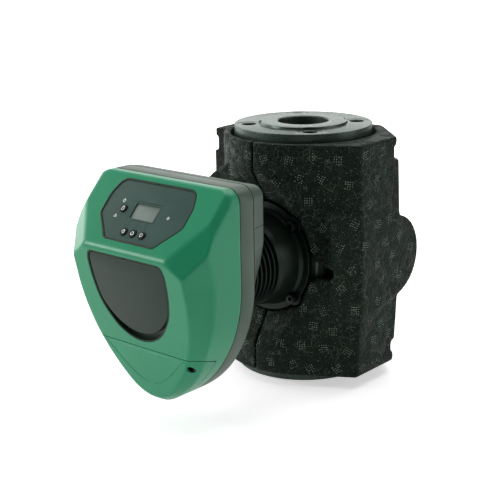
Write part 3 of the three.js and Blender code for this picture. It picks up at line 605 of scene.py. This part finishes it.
def shield_distance(x, y, half_width=HALF_WIDTH, arc_radius=ARC_RADIUS, tip_radius=TIP_RADIUS,
                    top=SHIELD_TOP, corner=SHIELD_CORNER):
    """Signed distance to the shield outline: negative inside."""
    across = np.abs(x)
    centre_x = half_width - arc_radius
    tip_y = ARC_HEIGHT - math.sqrt((arc_radius - tip_radius) ** 2 - centre_x ** 2)
    over_x = across - (half_width - corner)
    over_y = y - (top - corner)
    in_corner = (over_x > 0) & (over_y > 0)
    upper = np.where(in_corner, np.hypot(over_x, over_y), np.maximum(over_x, over_y)) - corner
    side = np.hypot(across - centre_x, y - ARC_HEIGHT) - arc_radius
    tip = np.hypot(across, y - tip_y) - tip_radius
    turn = (across - centre_x) * (tip_y - ARC_HEIGHT) + (y - ARC_HEIGHT) * centre_x
    lower = np.where(turn > 0, tip, side)
    return np.where(y > ARC_HEIGHT, upper, lower)


def soft_max(first, second, width):
    """The larger of two fields, blended where they are within width of each other."""
    near = np.maximum(width - np.abs(first - second), 0)
    return np.maximum(first, second) + near ** 2 / (4 * width)


def plane_through(a, b, c):
    """Outward unit normal and offset of the plane through three head-frame points."""
    a, b, c = (np.array(p, float) for p in (a, b, c))
    normal = np.cross(b - a, c - a)
    normal /= np.linalg.norm(normal)
    if normal @ (a - np.array([0.0, 0.0, HEAD_SEAM])) < 0:
        normal = -normal
    return normal, normal @ a


CORNER_FACET = plane_through((98, 98, 305), (70, 67.5, 335), (108, 72, 313))


def cover_field(x, y, d):
    """The green cover's form: negative inside. Flat faces meet in soft edges."""
    front = (d - front_depth(y)) / math.hypot(1, FRONT_LEAN)
    slope = (y - PANEL_CENTRE[1]) * math.sin(PANEL_TILT) + (d - PANEL_CENTRE[2]) * math.cos(PANEL_TILT)
    across = np.abs(x)
    side = shield_distance(x, y)
    inner = shield_distance(x, y, FRONT_HALF_WIDTH, FRONT_ARC_RADIUS, FRONT_TIP_RADIUS, 400, 1)
    width = np.maximum(inner - side, 5)
    start = np.interp(y, [-139, -52, 30, 72], [283, 302, 302, 313])
    fall = front_depth(y) - start
    chamfer = (d - front_depth(y) + fall * inner / width) / np.hypot(1, fall / width)
    crest = ((across - 102) * 8.5 + slope * 8) / math.hypot(8.5, 8)
    normal, offset = CORNER_FACET
    facet = across * normal[0] + y * normal[1] + d * normal[2] - offset
    body = soft_max(front, slope, 6)
    body = soft_max(body, facet, 2)
    body = soft_max(body, chamfer, 2)
    body = soft_max(body, crest, 1.6)
    edge = np.maximum(HEAD_SEAM + 1.6 - d, 0)
    return soft_max(body, side + 0.3 * edge ** 2, 2.2)


def housing_field(x, y, d):
    """The grey housing behind the seam: it draws in towards the motor."""
    depth = np.clip((COVER_SEAM - d) / 20, 0, 1.3)
    draw = np.interp(y, [-139, -90, -72, -30, 10, 37, 65, 137], [7, 9.5, 13, 18, 18.5, 9, 4, 4])
    side = shield_distance(x, y) + draw * depth
    return soft_max(side, HEAD_BACK - d, 7)


def cast_rays(field, origin, turn, lift, sign):
    """Where rays from the head's axis at depth origin meet field = 0."""
    direction = (np.cos(turn) * np.cos(lift), np.sin(turn) * np.cos(lift), sign * np.sin(lift))
    near, far = np.zeros_like(lift), np.full_like(lift, 400.0)
    for _ in range(34):
        middle = (near + far) / 2
        inside = field(*(middle * c + o for c, o in zip(direction, (0, 0, origin)))) < 0
        near, far = np.where(inside, middle, near), np.where(inside, far, middle)
    return [near * c + o for c, o in zip(direction, (0, 0, origin))]


def even_steps(values, positions, count):
    """Values at count even steps along the polyline of positions."""
    lengths = np.concatenate([[0], np.cumsum(np.linalg.norm(np.diff(positions, axis=0), axis=1))])
    return np.interp(np.linspace(0, lengths[-1], count), lengths, values)


def hollow_shell(name, field, base, sign, around, rings, wall, material):
    """A closed skin of the given wall over field = 0, open at the plane d = base."""
    dense = np.linspace(0, 2 * math.pi, 1441)
    rim = np.stack(cast_rays(field, base, dense, np.zeros_like(dense), sign)[:2], axis=-1)
    turn = even_steps(dense, rim, around + 1)[:-1]
    lifts = np.linspace(0, math.pi / 2, 260)
    grid = np.meshgrid(turn, lifts, indexing="ij")
    points = np.stack(cast_rays(field, base, *grid, sign), axis=-1)
    lift = np.stack([even_steps(lifts, row, rings) for row in points])
    turn = np.repeat(turn[:, None], rings, axis=1)
    outer = from_head(*cast_rays(field, base, turn, lift, sign))
    inner = from_head(*cast_rays(lambda x, y, d: field(x, y, d) + wall, base, turn, lift, sign))
    rings_out = [outer[:, k] for k in range(rings)][::-1] + [inner[:, k] for k in range(rings)]
    return loft(name, rings_out, material, caps=False)


# -------------------- head outlines


def mirrored(half):
    """A closed outline from its right half, listed from the top down."""
    half = [tuple(p) for p in half]
    return half[::-1] + [(-p[0], *p[1:]) for p in half]


def panel_outline(margin, steps=7):
    return rounded(mirrored([
        (58 + margin, 39.4 + margin, 13 + margin),
        (66.2 + margin, 18, 24),
        (66.2 + margin, -9.5, 9 + margin),
        (39 + 0.8 * margin, -39.4 - margin, 5 + margin),
    ]), steps)


def plate_outline(margin, lower=((46.5, -24), (34.5, -38), (18.5, -47.5), (0, -51))):
    """The shield-shaped plate: a rounded top and sides that run into one lower curve."""
    side = [(62.4, 44), (62.4, 32), (60.8, 14), (56, -7), *lower]
    mirror = [(-x, y) for x, y in side[-2::-1]]
    curve = spline(side + mirror, 97)[::-1]
    crown = rounded([(*curve[-1], 0), (59.5, 54, 10), (-59.5, 54, 10), (*curve[0], 0)], 9, closed=False)
    outline = np.vstack([curve, crown[1:-1]])
    return inset_outline(outline, -margin) if margin else outline


def side_prism(name, outline):
    """A prism across the whole head from an outline in y and d."""
    outline = np.asarray(outline, float)
    return loft(name, [from_head(x, outline[:, 0], outline[:, 1]) for x in (-130, 130)])


def terminal_region(margin):
    """The lower region of the cover that comes away for wiring."""
    return side_prism("region", [
        (-200, 275 - margin), (-71 + margin, 275 - margin), (-62.5 + margin, 300),
        (-62.5 + margin, 360), (-200, 360)])


# -------------------- head pieces


def build_covers():
    green = MATERIALS["green_cover"]
    shell = hollow_shell("cover", cover_field, HEAD_SEAM + SEAM_GAP, 1, 460, 120, HEAD_WALL, green)
    boolean(shell, plate("panel_hole", panel_outline(3), -14, 10, from_panel))
    boolean(shell, plate("plate_hole", plate_outline(2.6), -30, 20, on_front))
    terminal = duplicate(shell, "terminal_cover_form")
    boolean(shell, terminal_region(SEAM_GAP))
    boolean(terminal, terminal_region(-SEAM_GAP), "INTERSECT")
    for x, y in TERMINAL_SCREWS:
        boolean(terminal, rod("hole", 2.9, 270, 330, from_head, (x, y)))
        boolean(terminal, rod("hole", 4.6, 297, 330, from_head, (x, y)))
    half = [(4, -111), (18, -106), (36, -94), (50, -80), (67, -64)]
    path = spline([(-x, y) for x, y in half[::-1]] + half, 60)
    boolean(terminal, tube("groove", on_front(path[:, 0], path[:, 1], 0.3), 0.8))
    boolean(terminal, tube("groove", on_front(np.linspace(-74, 74, 30), np.full(30, -66.0), 0.3), 0.6))
    shell.name, terminal.name = "green_front_cover", "green_terminal_cover"
    settle(smooth(shell), "pump", "green_cover", "front_cover")
    settle(smooth(terminal), "pump", "green_cover", "terminal_cover")


def build_housing():
    grey = MATERIALS["grey_housing"]
    rear = hollow_shell("rear", housing_field, COVER_SEAM - 0.3, -1, 360, 70, HEAD_WALL, grey)
    top = duplicate(rear, "rear_top")
    boolean(rear, block("above", (-130, -260, AXIS_Z + TOP_COVER_HEIGHT - 0.3), (130, -200, AXIS_Z + 160)))
    boolean(top, block("below", (-130, -260, 0), (130, -200, AXIS_Z + TOP_COVER_HEIGHT + 0.3)))
    for x, y in GLANDS:
        boolean(rear, rod("gland_hole", 8.4, 195, 216, from_head, (x, y)))
    turn = np.linspace(0, 2 * math.pi, 1441)
    x, y, _ = cast_rays(lambda x, y, d: shield_distance(x, y), 0, turn, np.zeros_like(turn), 1)
    rim = np.stack([x, y], axis=-1)
    turn = even_steps(turn, rim, 361)[:-1]
    levels = [(0.9, COVER_SEAM + 0.3), (0.3, COVER_SEAM + 0.6), (0, COVER_SEAM + 1.4), (0, HEAD_SEAM - 1.9),
              (0.3, HEAD_SEAM - 1.1), (0.9, HEAD_SEAM - 0.7), (HEAD_WALL, HEAD_SEAM - 0.7),
              (HEAD_WALL, COVER_SEAM + 0.3), (0.9, COVER_SEAM + 0.3)]
    rings = []
    for inset, depth in levels:
        x, y, _ = cast_rays(lambda x, y, d: shield_distance(x, y) + inset, 0, turn, np.zeros_like(turn), 1)
        rings.append(from_head(x, y, depth))
    band = loft("band", rings, grey, caps=False)
    housing = join("grey_control_housing", rear, band)
    top.name = "grey_rear_top_cover"
    settle(smooth(housing), "pump", "grey_housing", "control_housing")
    settle(smooth(top), "pump", "grey_housing", "rear_top_cover")


def ring_plate(name, outer, inner, low, high, place, rim, material):
    """A frame between two outlines of equal point count with rounded upper edges."""
    levels = [(outer, 0, low), (outer, 0, high - rim), (outer, 0.3 * rim, high - 0.3 * rim),
              (outer, rim, high), (inner, -rim, high), (inner, -0.3 * rim, high - 0.3 * rim),
              (inner, 0, high - rim), (inner, 0, low), (outer, 0, low)]
    rings = []
    for outline, inset, height in levels:
        ring = inset_outline(outline, inset)
        rings.append(place(ring[:, 0], ring[:, 1], height))
    return loft(name, rings, material, caps=False)


def build_name_plate():
    dark = MATERIALS["dark_plate"]
    frame_ring = ring_plate("frame", plate_outline(2.2), plate_outline(0.5), -9, -0.2, on_front, 0.5, dark)
    boolean(frame_ring, rod("notch", 1.3, -2.5, 4, on_front, (0, 55.2), 12))
    floor = plate("floor", plate_outline(2.0), -9, -7.4, on_front, material=dark)
    settle(smooth(join("recess_tray", frame_ring, floor)), "pump", "dark_plate", "name_plate_surround")
    lower = ((45.5, -22), (32, -33.5), (16.5, -40.5), (0, -43))
    face = plate("shield_name_plate", plate_outline(-0.2, lower), -7, -0.8, on_front, rim=1.4, material=dark)
    settle(smooth(face), "pump", "dark_plate", "name_plate")


def stroke(name, points, width, height, material, closed=False):
    """A raised printed line on the control panel through points in x and v."""
    points = np.asarray(points, float)
    if closed:
        points = np.vstack([points, points[:2]])
    pieces = []
    for i, (start, end) in enumerate(zip(points[:-1], points[1:])):
        along = (end - start) / np.linalg.norm(end - start)
        side = np.array([-along[1], along[0]]) * width / 2
        corners = np.array([start - side, end - side, end + side, start + side])
        rings = [from_panel(corners[:, 0], corners[:, 1], n) for n in (height - 0.15, height)]
        pieces.append(loft(f"{name}_{i}", rings, material))
    return join(name, *pieces)


def ring_mark(name, x, v, radius, width, height, material):
    profile = [(radius - width / 2, height - 0.15), (radius + width / 2, height - 0.15),
               (radius + width / 2, height), (radius - width / 2, height)]
    return turned(name, profile, from_panel, 28, True, (x, v), material)


def build_panel():
    film, dark = MATERIALS["panel_film"], MATERIALS["dark_plate"]
    outer, inner = panel_outline(2.8), panel_outline(0.4)
    bezel = ring_plate("panel_border", outer, inner, -6, 0.35, from_panel, 0.35, dark)
    boolean(bezel, rod("notch", 1.1, -0.6, 4, from_panel, (0, 40.3), 12))
    settle(smooth(bezel), "pump", "dark_plate", "panel_bezel")
    face = plate("face", panel_outline(0.2), -3, -0.45, from_panel, rim=0.2, material=film)
    for x, v in BUTTONS.values():
        boolean(face, rod("hole", BUTTON_RADIUS + 0.35, -8, 4, from_panel, (x, v)))
    window = rounded([(-22.4, -11.4, 1.5), (22.4, -11.4, 1.5), (22.4, 14.1, 1.5), (-22.4, 14.1, 1.5)])
    boolean(face, plate("opening", window, -8, 4, from_panel))
    marks = []
    for x in (-15.1, 0, 15.1):
        line = [(x, -22.2), (x * 0.86, -12.6), (x * 0.86 + 2.5, -12.2)]
        marks.append(stroke("leader", line, 0.4, PRINT_HEIGHT, dark))
    marks.append(ring_mark("icon_power", -41, 11.4, 1.9, 0.75, PRINT_HEIGHT, PRINT_WHITE))
    marks.append(stroke("icon_power_bar", [(-41, 11.6), (-41, 14.6)], 0.7, PRINT_HEIGHT, PRINT_WHITE))
    triangle = [(-44.3, -11.8), (-39.7, -11.8), (-42, -7.8)]
    marks.append(stroke("icon_alert", triangle, 0.7, PRINT_HEIGHT, PRINT_WHITE, closed=True))
    marks.append(stroke("icon_alert_bar", [(-42, -11), (-42, -9.4)], 0.6, PRINT_HEIGHT, PRINT_WHITE))
    for angle in (0, 60, 120):
        c, s = 2.3 * math.cos(math.radians(angle)), 2.3 * math.sin(math.radians(angle))
        spoke = [(39.2 - c, -s), (39.2 + c, s)]
        marks.append(stroke("icon_spokes", spoke, 0.6, PRINT_HEIGHT, PRINT_WHITE))
    settle(smooth(join("control_panel_face", face, *marks)), "pump", "panel_film", "control_panel")
    outer = rounded([(-22, -11, 1.2), (22, -11, 1.2), (22, 13.7, 1.2), (-22, 13.7, 1.2)])
    inner = rounded([(-19, -9.2, 0.8), (19, -9.2, 0.8), (19, 11.6, 0.8), (-19, 11.6, 0.8)])
    border = ring_plate("border", outer, inner, -2.9, -0.5, from_panel, 0.2, film)
    glass = plate("glass", inner, -2.9, -2.2, from_panel, rim=0.1, material=MATERIALS["display_window"])
    settle(smooth(join("lcd_glass", border, glass)), "pump", "display_window", "lcd_window")


def build_buttons():
    black = MATERIALS["black_plastic"]
    profile = rounded([(0, -4.3, 0), (BUTTON_RADIUS, -4.3, 0.3), (BUTTON_RADIUS, 0.9, 0.7),
                       (2.5, 1.0, 2.0), (0, 0.85, 0)], 5, closed=False)
    for name, (x, v) in BUTTONS.items():
        cap = turned("cap", profile, from_panel, 40, False, (x, v), black)
        line = [(x + a, v + b) for a, b in BUTTON_MARKS[name]]
        mark = stroke("mark", line, 0.95, BUTTON_MARK_HEIGHT, PRINT_WHITE, closed=True)
        settle(smooth(join(name + "_cap", cap, mark)), name, "black_plastic", name)


def build_terminal_screws():
    for side, (x, y) in zip(("left", "right"), TERMINAL_SCREWS):
        profile = rounded([(0, 262, 0), (2.4, 262, 0.4), (2.4, 297.6, 0), (4.1, 297.6, 0.2),
                           (4.1, 300.6, 0.8), (0, 301, 0)], 4, closed=False)
        screw = turned("terminal_screw_form", profile, from_head, 32, False, (x, y), BLACK_STEEL)
        for half, thick in ((3.2, 0.55), (0.55, 3.2)):
            low = (x - half, -303, AXIS_Z + y - thick)
            high = (x + half, -299.2, AXIS_Z + y + thick)
            boolean(screw, block("slot", low, high))
        screw.name = f"cover_screw_{side}"
        settle(smooth(screw), "pump", "steel", f"terminal_screw_{side}")


def build_glands():
    black = MATERIALS["black_plastic"]
    for side, (x, y) in zip(("left", "right"), GLANDS):
        hexagon = rounded([(*p, 1.2) for p in circle(13, 6, x, y)], 4)
        collar = plate("collar", hexagon, 199, HEAD_BACK - 0.3, from_head, rim=0.8, foot=0.8, material=black)
        profile = [(4.9, 194), (8, 194), (8, 213), (4.9, 213)]
        thread = turned("thread", profile, from_head, 40, True, (x, y), black)
        boolean(collar, rod("bore", 5, 190, 216, from_head, (x, y)))
        collar = join(f"gland_collar_{side}", collar, thread)
        settle(smooth(collar), "pump", "black_plastic", f"gland_body_{side}")
        angles = np.linspace(0, 2 * math.pi, 96, endpoint=False)
        flutes = 11.6 - 0.5 * np.cos(12 * angles) ** 4
        levels = [(flutes, 198.5), (flutes, 187.5), (flutes - 0.8, 185.6), (8.6, 184.2), (5.4, 184.2),
                  (5.4, 198.5), (flutes, 198.5)]
        rings = []
        for radius, depth in levels:
            rings.append(from_head(x + radius * np.cos(angles), y + radius * np.sin(angles), depth))
        nut = loft(f"gland_cap_{side}", rings, black, caps=False)
        settle(smooth(nut), "pump", "black_plastic", f"gland_nut_{side}")


# -------------------- motor


def lug_outline(count=240):
    """The motor flange's outline: a disc with four rounded lugs."""
    angles = np.arange(count) * 2 * math.pi / count
    radius = np.full(count, MOTOR_FLANGE_RADIUS)
    for lug in LUG_ANGLES:
        off = (angles - math.radians(lug) + math.pi) % (2 * math.pi) - math.pi
        inside = LUG_RADIUS ** 2 - (LUG_CIRCLE_RADIUS * np.sin(off)) ** 2
        reach = LUG_CIRCLE_RADIUS * np.cos(off) + np.sqrt(np.maximum(inside, 0))
        radius = np.where(inside > 0, soft_max(radius, reach, 2.5), radius)
    return np.stack([radius * np.cos(angles), radius * np.sin(angles)], axis=-1)


def build_motor():
    paint = MATERIALS["motor_paint"]
    front = [(62, 77.2, 0), (66, 77.2, 0), (66, MOTOR_FLANGE_FRONT + 1, 2.5), (62.4, 89, 3), (61, 102, 10),
             (59, 116, 8), (57.4, RIB_START - 2, 1)]
    ribs = []
    for i in range(RIB_COUNT):
        start = RIB_START + i * RIB_PITCH
        ribs += [(RIB_RADIUS, start, 0.7), (RIB_ROOT_RADIUS, start + 0.9, 0.8),
                 (RIB_ROOT_RADIUS, start + 4.9, 0.8), (RIB_RADIUS, start + 5.8, 0.7)]
    end = [(RIB_RADIUS - 2, RIB_START + RIB_COUNT * RIB_PITCH + 1, 1), (46, 197, 2), (46, MOTOR_END, 0),
           (20, MOTOR_END, 0), (20, 197, 0), (47, 192, 0), (47, 84, 0), (58.4, 80, 0), (58.4, 77.2, 0)]
    body = turned("motor_form", rounded(front + ribs + end, 4), from_head, 144, True, material=paint)
    flange = plate("flange", lug_outline(), MOTOR_FACE, MOTOR_FLANGE_FRONT, from_head, rim=1.0, foot=0.4)
    boolean(flange, rod("middle", 64, 70, 90, from_head, segments=144))
    boolean(body, flange, "UNION")
    for angle in LUG_ANGLES:
        centre = on_circle(LUG_CIRCLE_RADIUS, angle)
        boolean(body, rod("hole", 3.6, 70, 90, from_head, centre))
        boolean(body, rod("pocket", 7.2, MOTOR_FLANGE_FRONT - 0.4, 104, from_head, centre))
    body.name = "ribbed_motor_housing"
    settle(smooth(body), "pump", "motor_paint", "motor_housing")
    for i, angle in enumerate(LUG_ANGLES):
        build_motor_screw(i + 1, angle)


def build_motor_screw(number, angle):
    centre = on_circle(LUG_CIRCLE_RADIUS, angle)
    profile = rounded([(0, 62, 0), (2.8, 62, 0.5), (2.8, 83.8, 0), (6, 83.8, 0.3), (6, 92, 0.8),
                       (0, 92, 0)], 4, closed=False)
    screw = turned("screw_form", profile, from_head, 36, False, centre, BLACK_STEEL)
    hexagon = circle(3.1, 6, *centre)
    boolean(screw, loft("socket", [from_head(hexagon[:, 0], hexagon[:, 1], d) for d in (87.5, 95)]))
    screw.name = f"socket_screw_{number}"
    settle(smooth(screw), "pump", "steel", f"motor_screw_{number}")


# -------------------- casing and shells


def cad_copy(node, name):
    """A welded copy of a CAD node's mesh as a new object."""
    mesh = frame["nodes"][node].data.copy()
    edit = bmesh.new()
    edit.from_mesh(mesh)
    bmesh.ops.remove_doubles(edit, verts=edit.verts, dist=2e-6)
    edit.to_mesh(mesh)
    edit.free()
    mesh.materials.clear()
    obj = bpy.data.objects.new(name, mesh)
    bpy.context.scene.collection.objects.link(obj)
    return obj


def soften(obj, voxel, passes, shrink=0.0):
    """Remeshes a form evenly, rounds its edges and junctions as a mould does, and draws it in by shrink."""
    remesh = obj.modifiers.new("remesh", "REMESH")
    remesh.mode = "VOXEL"
    remesh.voxel_size = voxel * MM
    relax = obj.modifiers.new("relax", "SMOOTH")
    relax.factor = 0.5
    relax.iterations = passes
    draw_in = obj.modifiers.new("draw_in", "DISPLACE")
    draw_in.mid_level = 0.0
    draw_in.strength = -shrink * MM
    apply_modifiers(obj)
    return obj


def flange_disc(name, face, out, material):
    """A pipe flange with raised face, chamfered bore, bolt holes and spot faces."""
    def place(x, y, depth):
        return upright(x, y, face - out * np.asarray(depth, float))

    profile = rounded([
        (BORE_RADIUS, 24, 0), (BORE_RADIUS, 1.4, 0.3), (BORE_RADIUS + 1.3, 0, 0.3),
        (RAISED_FACE_RADIUS, 0, 0.5), (RAISED_FACE_RADIUS + 0.5, RAISED_FACE_HEIGHT, 0.6),
        (FLANGE_RADIUS, RAISED_FACE_HEIGHT, 1.0), (FLANGE_RADIUS, FLANGE_INNER_FACE, 1.5),
        (58, FLANGE_INNER_FACE + 1, 4), (44, 27, 2)], 4)
    disc = turned(name, profile, place, 160, True, material=material)
    for angle in LUG_ANGLES:
        centre = on_circle(BOLT_CIRCLE_RADIUS, angle)
        spot = [(0, -2), (SPOT_FACE_RADIUS, -2), (SPOT_FACE_RADIUS, 3.3), (0, 3.3)]
        boolean(disc, turned("spot", spot, place, 56, False, centre))
        hole = [(0, -3), (10.4, -3), (10.4, 3.3), (BOLT_HOLE_RADIUS, 4.2), (BOLT_HOLE_RADIUS, 40), (0, 40)]
        boolean(disc, turned("hole", hole, place, 48, False, centre))
    return disc


def build_casing():
    iron = MATERIALS["iron"]
    middle = cad_copy("pump_casing", "middle")
    boolean(middle, block("core", (-110, -110, 21), (110, 110, FACE_TO_FACE - 21)), "INTERSECT")
    soften(middle, 2.2, 4)
    middle.data.materials.clear()
    middle.data.materials.append(iron)
    lower = flange_disc("lower", 0.0, -1, iron)
    upper = flange_disc("upper", FACE_TO_FACE, 1, iron)
    settle(smooth(join("cast_pump_casing", middle, lower, upper), 40), "pump", "iron", "pump_casing")


def vent_pips(shell, name, random):
    """Clusters of small pips where the steam vents of the mould marked the foam."""
    tree = BVHTree.FromObject(shell, bpy.context.evaluated_depsgraph_get())
    points, faces = [], []
    for base, normal, twist in vent_sites(tree, random):
        side = Vector((0, 0, 1)).cross(normal).normalized()
        other = normal.cross(side)
        cosine, sine = math.cos(twist), math.sin(twist)
        side, other = side * cosine + other * sine, other * cosine - side * sine
        for a, b in pip_pattern():
            start = base + (side * a + other * b) * MM + normal * 0.02
            hit, facing, _, _ = tree.ray_cast(start, -normal, 0.03)
            if hit is None or facing.dot(normal) < 0.9 or abs((hit - base).dot(normal)) > 0.004:
                continue
            if random.random() > 0.16:
                add_pip(points, faces, hit / MM, facing, PIP_RADIUS * random.uniform(0.75, 1.15))
    return make_object(name, np.array(points), faces, PIP_GREY) if points else None


def pip_pattern():
    """A four by four grid of pips."""
    for i in range(4):
        for j in range(4):
            yield (i - 1.5) * PIP_SPACING, (j - 1.5) * PIP_SPACING


def add_pip(points, faces, centre, normal, radius):
    """A shallow closed dome on the surface."""
    side = normal.orthogonal().normalized()
    other = normal.cross(side)
    start = len(points)
    points.append(list(centre + normal * 0.3))
    points.append(list(centre - normal * 0.4))
    for i in range(6):
        angle = i * math.pi / 3
        outward = side * math.cos(angle) + other * math.sin(angle)
        points.append(list(centre + outward * radius - normal * 0.05))
    for i in range(6):
        j = (i + 1) % 6
        faces.append((start, start + 2 + i, start + 2 + j))
        faces.append((start + 1, start + 2 + j, start + 2 + i))


def vent_sites(tree, random):
    """Cluster centres on a staggered grid wrapped round the shells, each a little off."""
    for row in range(VENT_ROWS):
        for column in range(VENT_COLUMNS):
            rise, swing = random.uniform(-5, 5), random.uniform(-0.05, 0.05)
            twist, wanted = random.gauss(0, 0.35), random.random()
            height = (VENT_START + row * VENT_RISE + rise) * MM
            angle = 2 * math.pi * (column + 0.5 * (row % 2)) / VENT_COLUMNS + swing
            outward = Vector((math.cos(angle), math.sin(angle), 0))
            hit, normal, _, _ = tree.ray_cast(outward * 0.3 + Vector((0, 0, height)), -outward, 0.22)
            if hit is not None and normal.dot(outward) > 0.6 and wanted > 0.12:
                yield hit, normal, twist


def build_shells():
    dark = MATERIALS["insulation_foam"]
    for side in ("left", "right"):
        node = f"insulation_shell_{side}"
        shell = soften(cad_copy(node, "shell"), 2.0, 5, 0.4)
        shell.data.materials.clear()
        shell.data.materials.append(dark)
        pips = vent_pips(shell, "pips", Random(7))
        settle(smooth(join(f"foam_shell_{side}", shell, pips), 40), node, "insulation_foam", node)


# -------------------- carried CAD nodes


def finish_cad_nodes():
    """Every CAD node that still shows takes the procedural finish of its slot."""
    slots = {part["node"]: part["material_slot"] for part in frame["record"]["subparts"]}
    for name, obj in frame["nodes"].items():
        obj.data.materials.clear()
        obj.data.materials.append(MATERIALS[slots[name]])


# -------------------- stage and camera


def build_stage():
    """A pale floor that glows, with painted glow seen only by the camera that grows with distance, so it
    fades to white far away; a white surround and soft lights.
    """
    corners = [(x * FLOOR_REACH, y * FLOOR_REACH, FLOOR_LEVEL)
               for x, y in ((-1, -1), (1, -1), (1, 1), (-1, 1))]
    floor = make_object("floor", corners, [(0, 1, 2, 3)])
    pale = Finish("pale_floor", Emission_Color=(1, 1, 1, 1))
    distance = pale.tree.nodes.new("ShaderNodeVectorMath")
    distance.operation = "LENGTH"
    pale.link(pale.place, distance.inputs[0])
    rays = pale.tree.nodes.new("ShaderNodeLightPath")
    # Painted glow seen only by camera rays: weaker near the object, where its shadow falls, and stronger far
    # away, on top of the floor's glow for all rays.
    camera_glow = pale.remap(distance.outputs["Value"], 0.6, 2.6, 0.22, 0.75)
    glow = pale.maths("ADD", pale.maths("MULTIPLY", rays.outputs["Is Camera Ray"], camera_glow), FLOOR_GLOW)
    pale.link(glow, pale.shader.inputs["Emission Strength"])
    pale.finish(pale.ramp(pale.noise(400, 2), (0.0, (0.84, 0.84, 0.84)), (1.0, (0.88, 0.88, 0.88))),
                pale.remap(pale.noise(200), 0, 1, 0.7, 0.8))
    floor.data.materials.append(pale.material)
    world = bpy.data.worlds.new("studio")
    world.use_nodes = True
    background = world.node_tree.nodes["Background"]
    background.inputs["Color"].default_value = (1, 1, 1, 1)
    rays = world.node_tree.nodes.new("ShaderNodeLightPath")
    seen = world.node_tree.nodes.new("ShaderNodeMapRange")
    seen.inputs["To Min"].default_value = WORLD_LIGHT
    world.node_tree.links.new(rays.outputs["Is Camera Ray"], seen.inputs["Value"])
    world.node_tree.links.new(seen.outputs["Result"], background.inputs["Strength"])
    bpy.context.scene.world = world
    bpy.context.scene.view_settings.view_transform = "Standard"
    for name, (place, size, power) in LIGHTS.items():
        add_light(name, place, size, power)


def add_light(name, place, size, power):
    light = bpy.data.lights.new(name, "AREA")
    light.shape = "RECTANGLE"
    light.size, light.size_y = size
    light.energy = power
    obj = bpy.data.objects.new(name, light)
    obj.location = place
    obj.rotation_euler = (Vector((0, -0.1, 0.17)) - Vector(place)).to_track_quat("-Z", "Y").to_euler()
    bpy.context.scene.collection.objects.link(obj)


def build_camera():
    azimuth, elevation, roll = (math.radians(angle) for angle in CAMERA_ANGLES)
    level = Vector((math.sin(azimuth), -math.cos(azimuth), 0))
    back = level * math.cos(elevation) + Vector((0, 0, math.sin(elevation)))
    right = Vector((math.cos(azimuth), math.sin(azimuth), 0))
    up = back.cross(right)
    turned_right = right * math.cos(roll) + up * math.sin(roll)
    turned_up = up * math.cos(roll) - right * math.sin(roll)
    camera = bpy.data.cameras.new("camera")
    camera.lens = CAMERA_LENS
    camera.sensor_width = 36
    obj = bpy.data.objects.new("camera", camera)
    turn = Matrix((turned_right, turned_up, back)).transposed().to_4x4()
    obj.matrix_world = Matrix.Translation(CAMERA_PLACE) @ turn
    bpy.context.scene.collection.objects.link(obj)
    bpy.context.scene.camera = obj


build_camera()
build_stage()
finish_cad_nodes()
build_covers()
build_housing()
build_name_plate()
build_panel()
build_buttons()
build_terminal_screws()
build_glands()
build_motor()
build_casing()
build_shells()
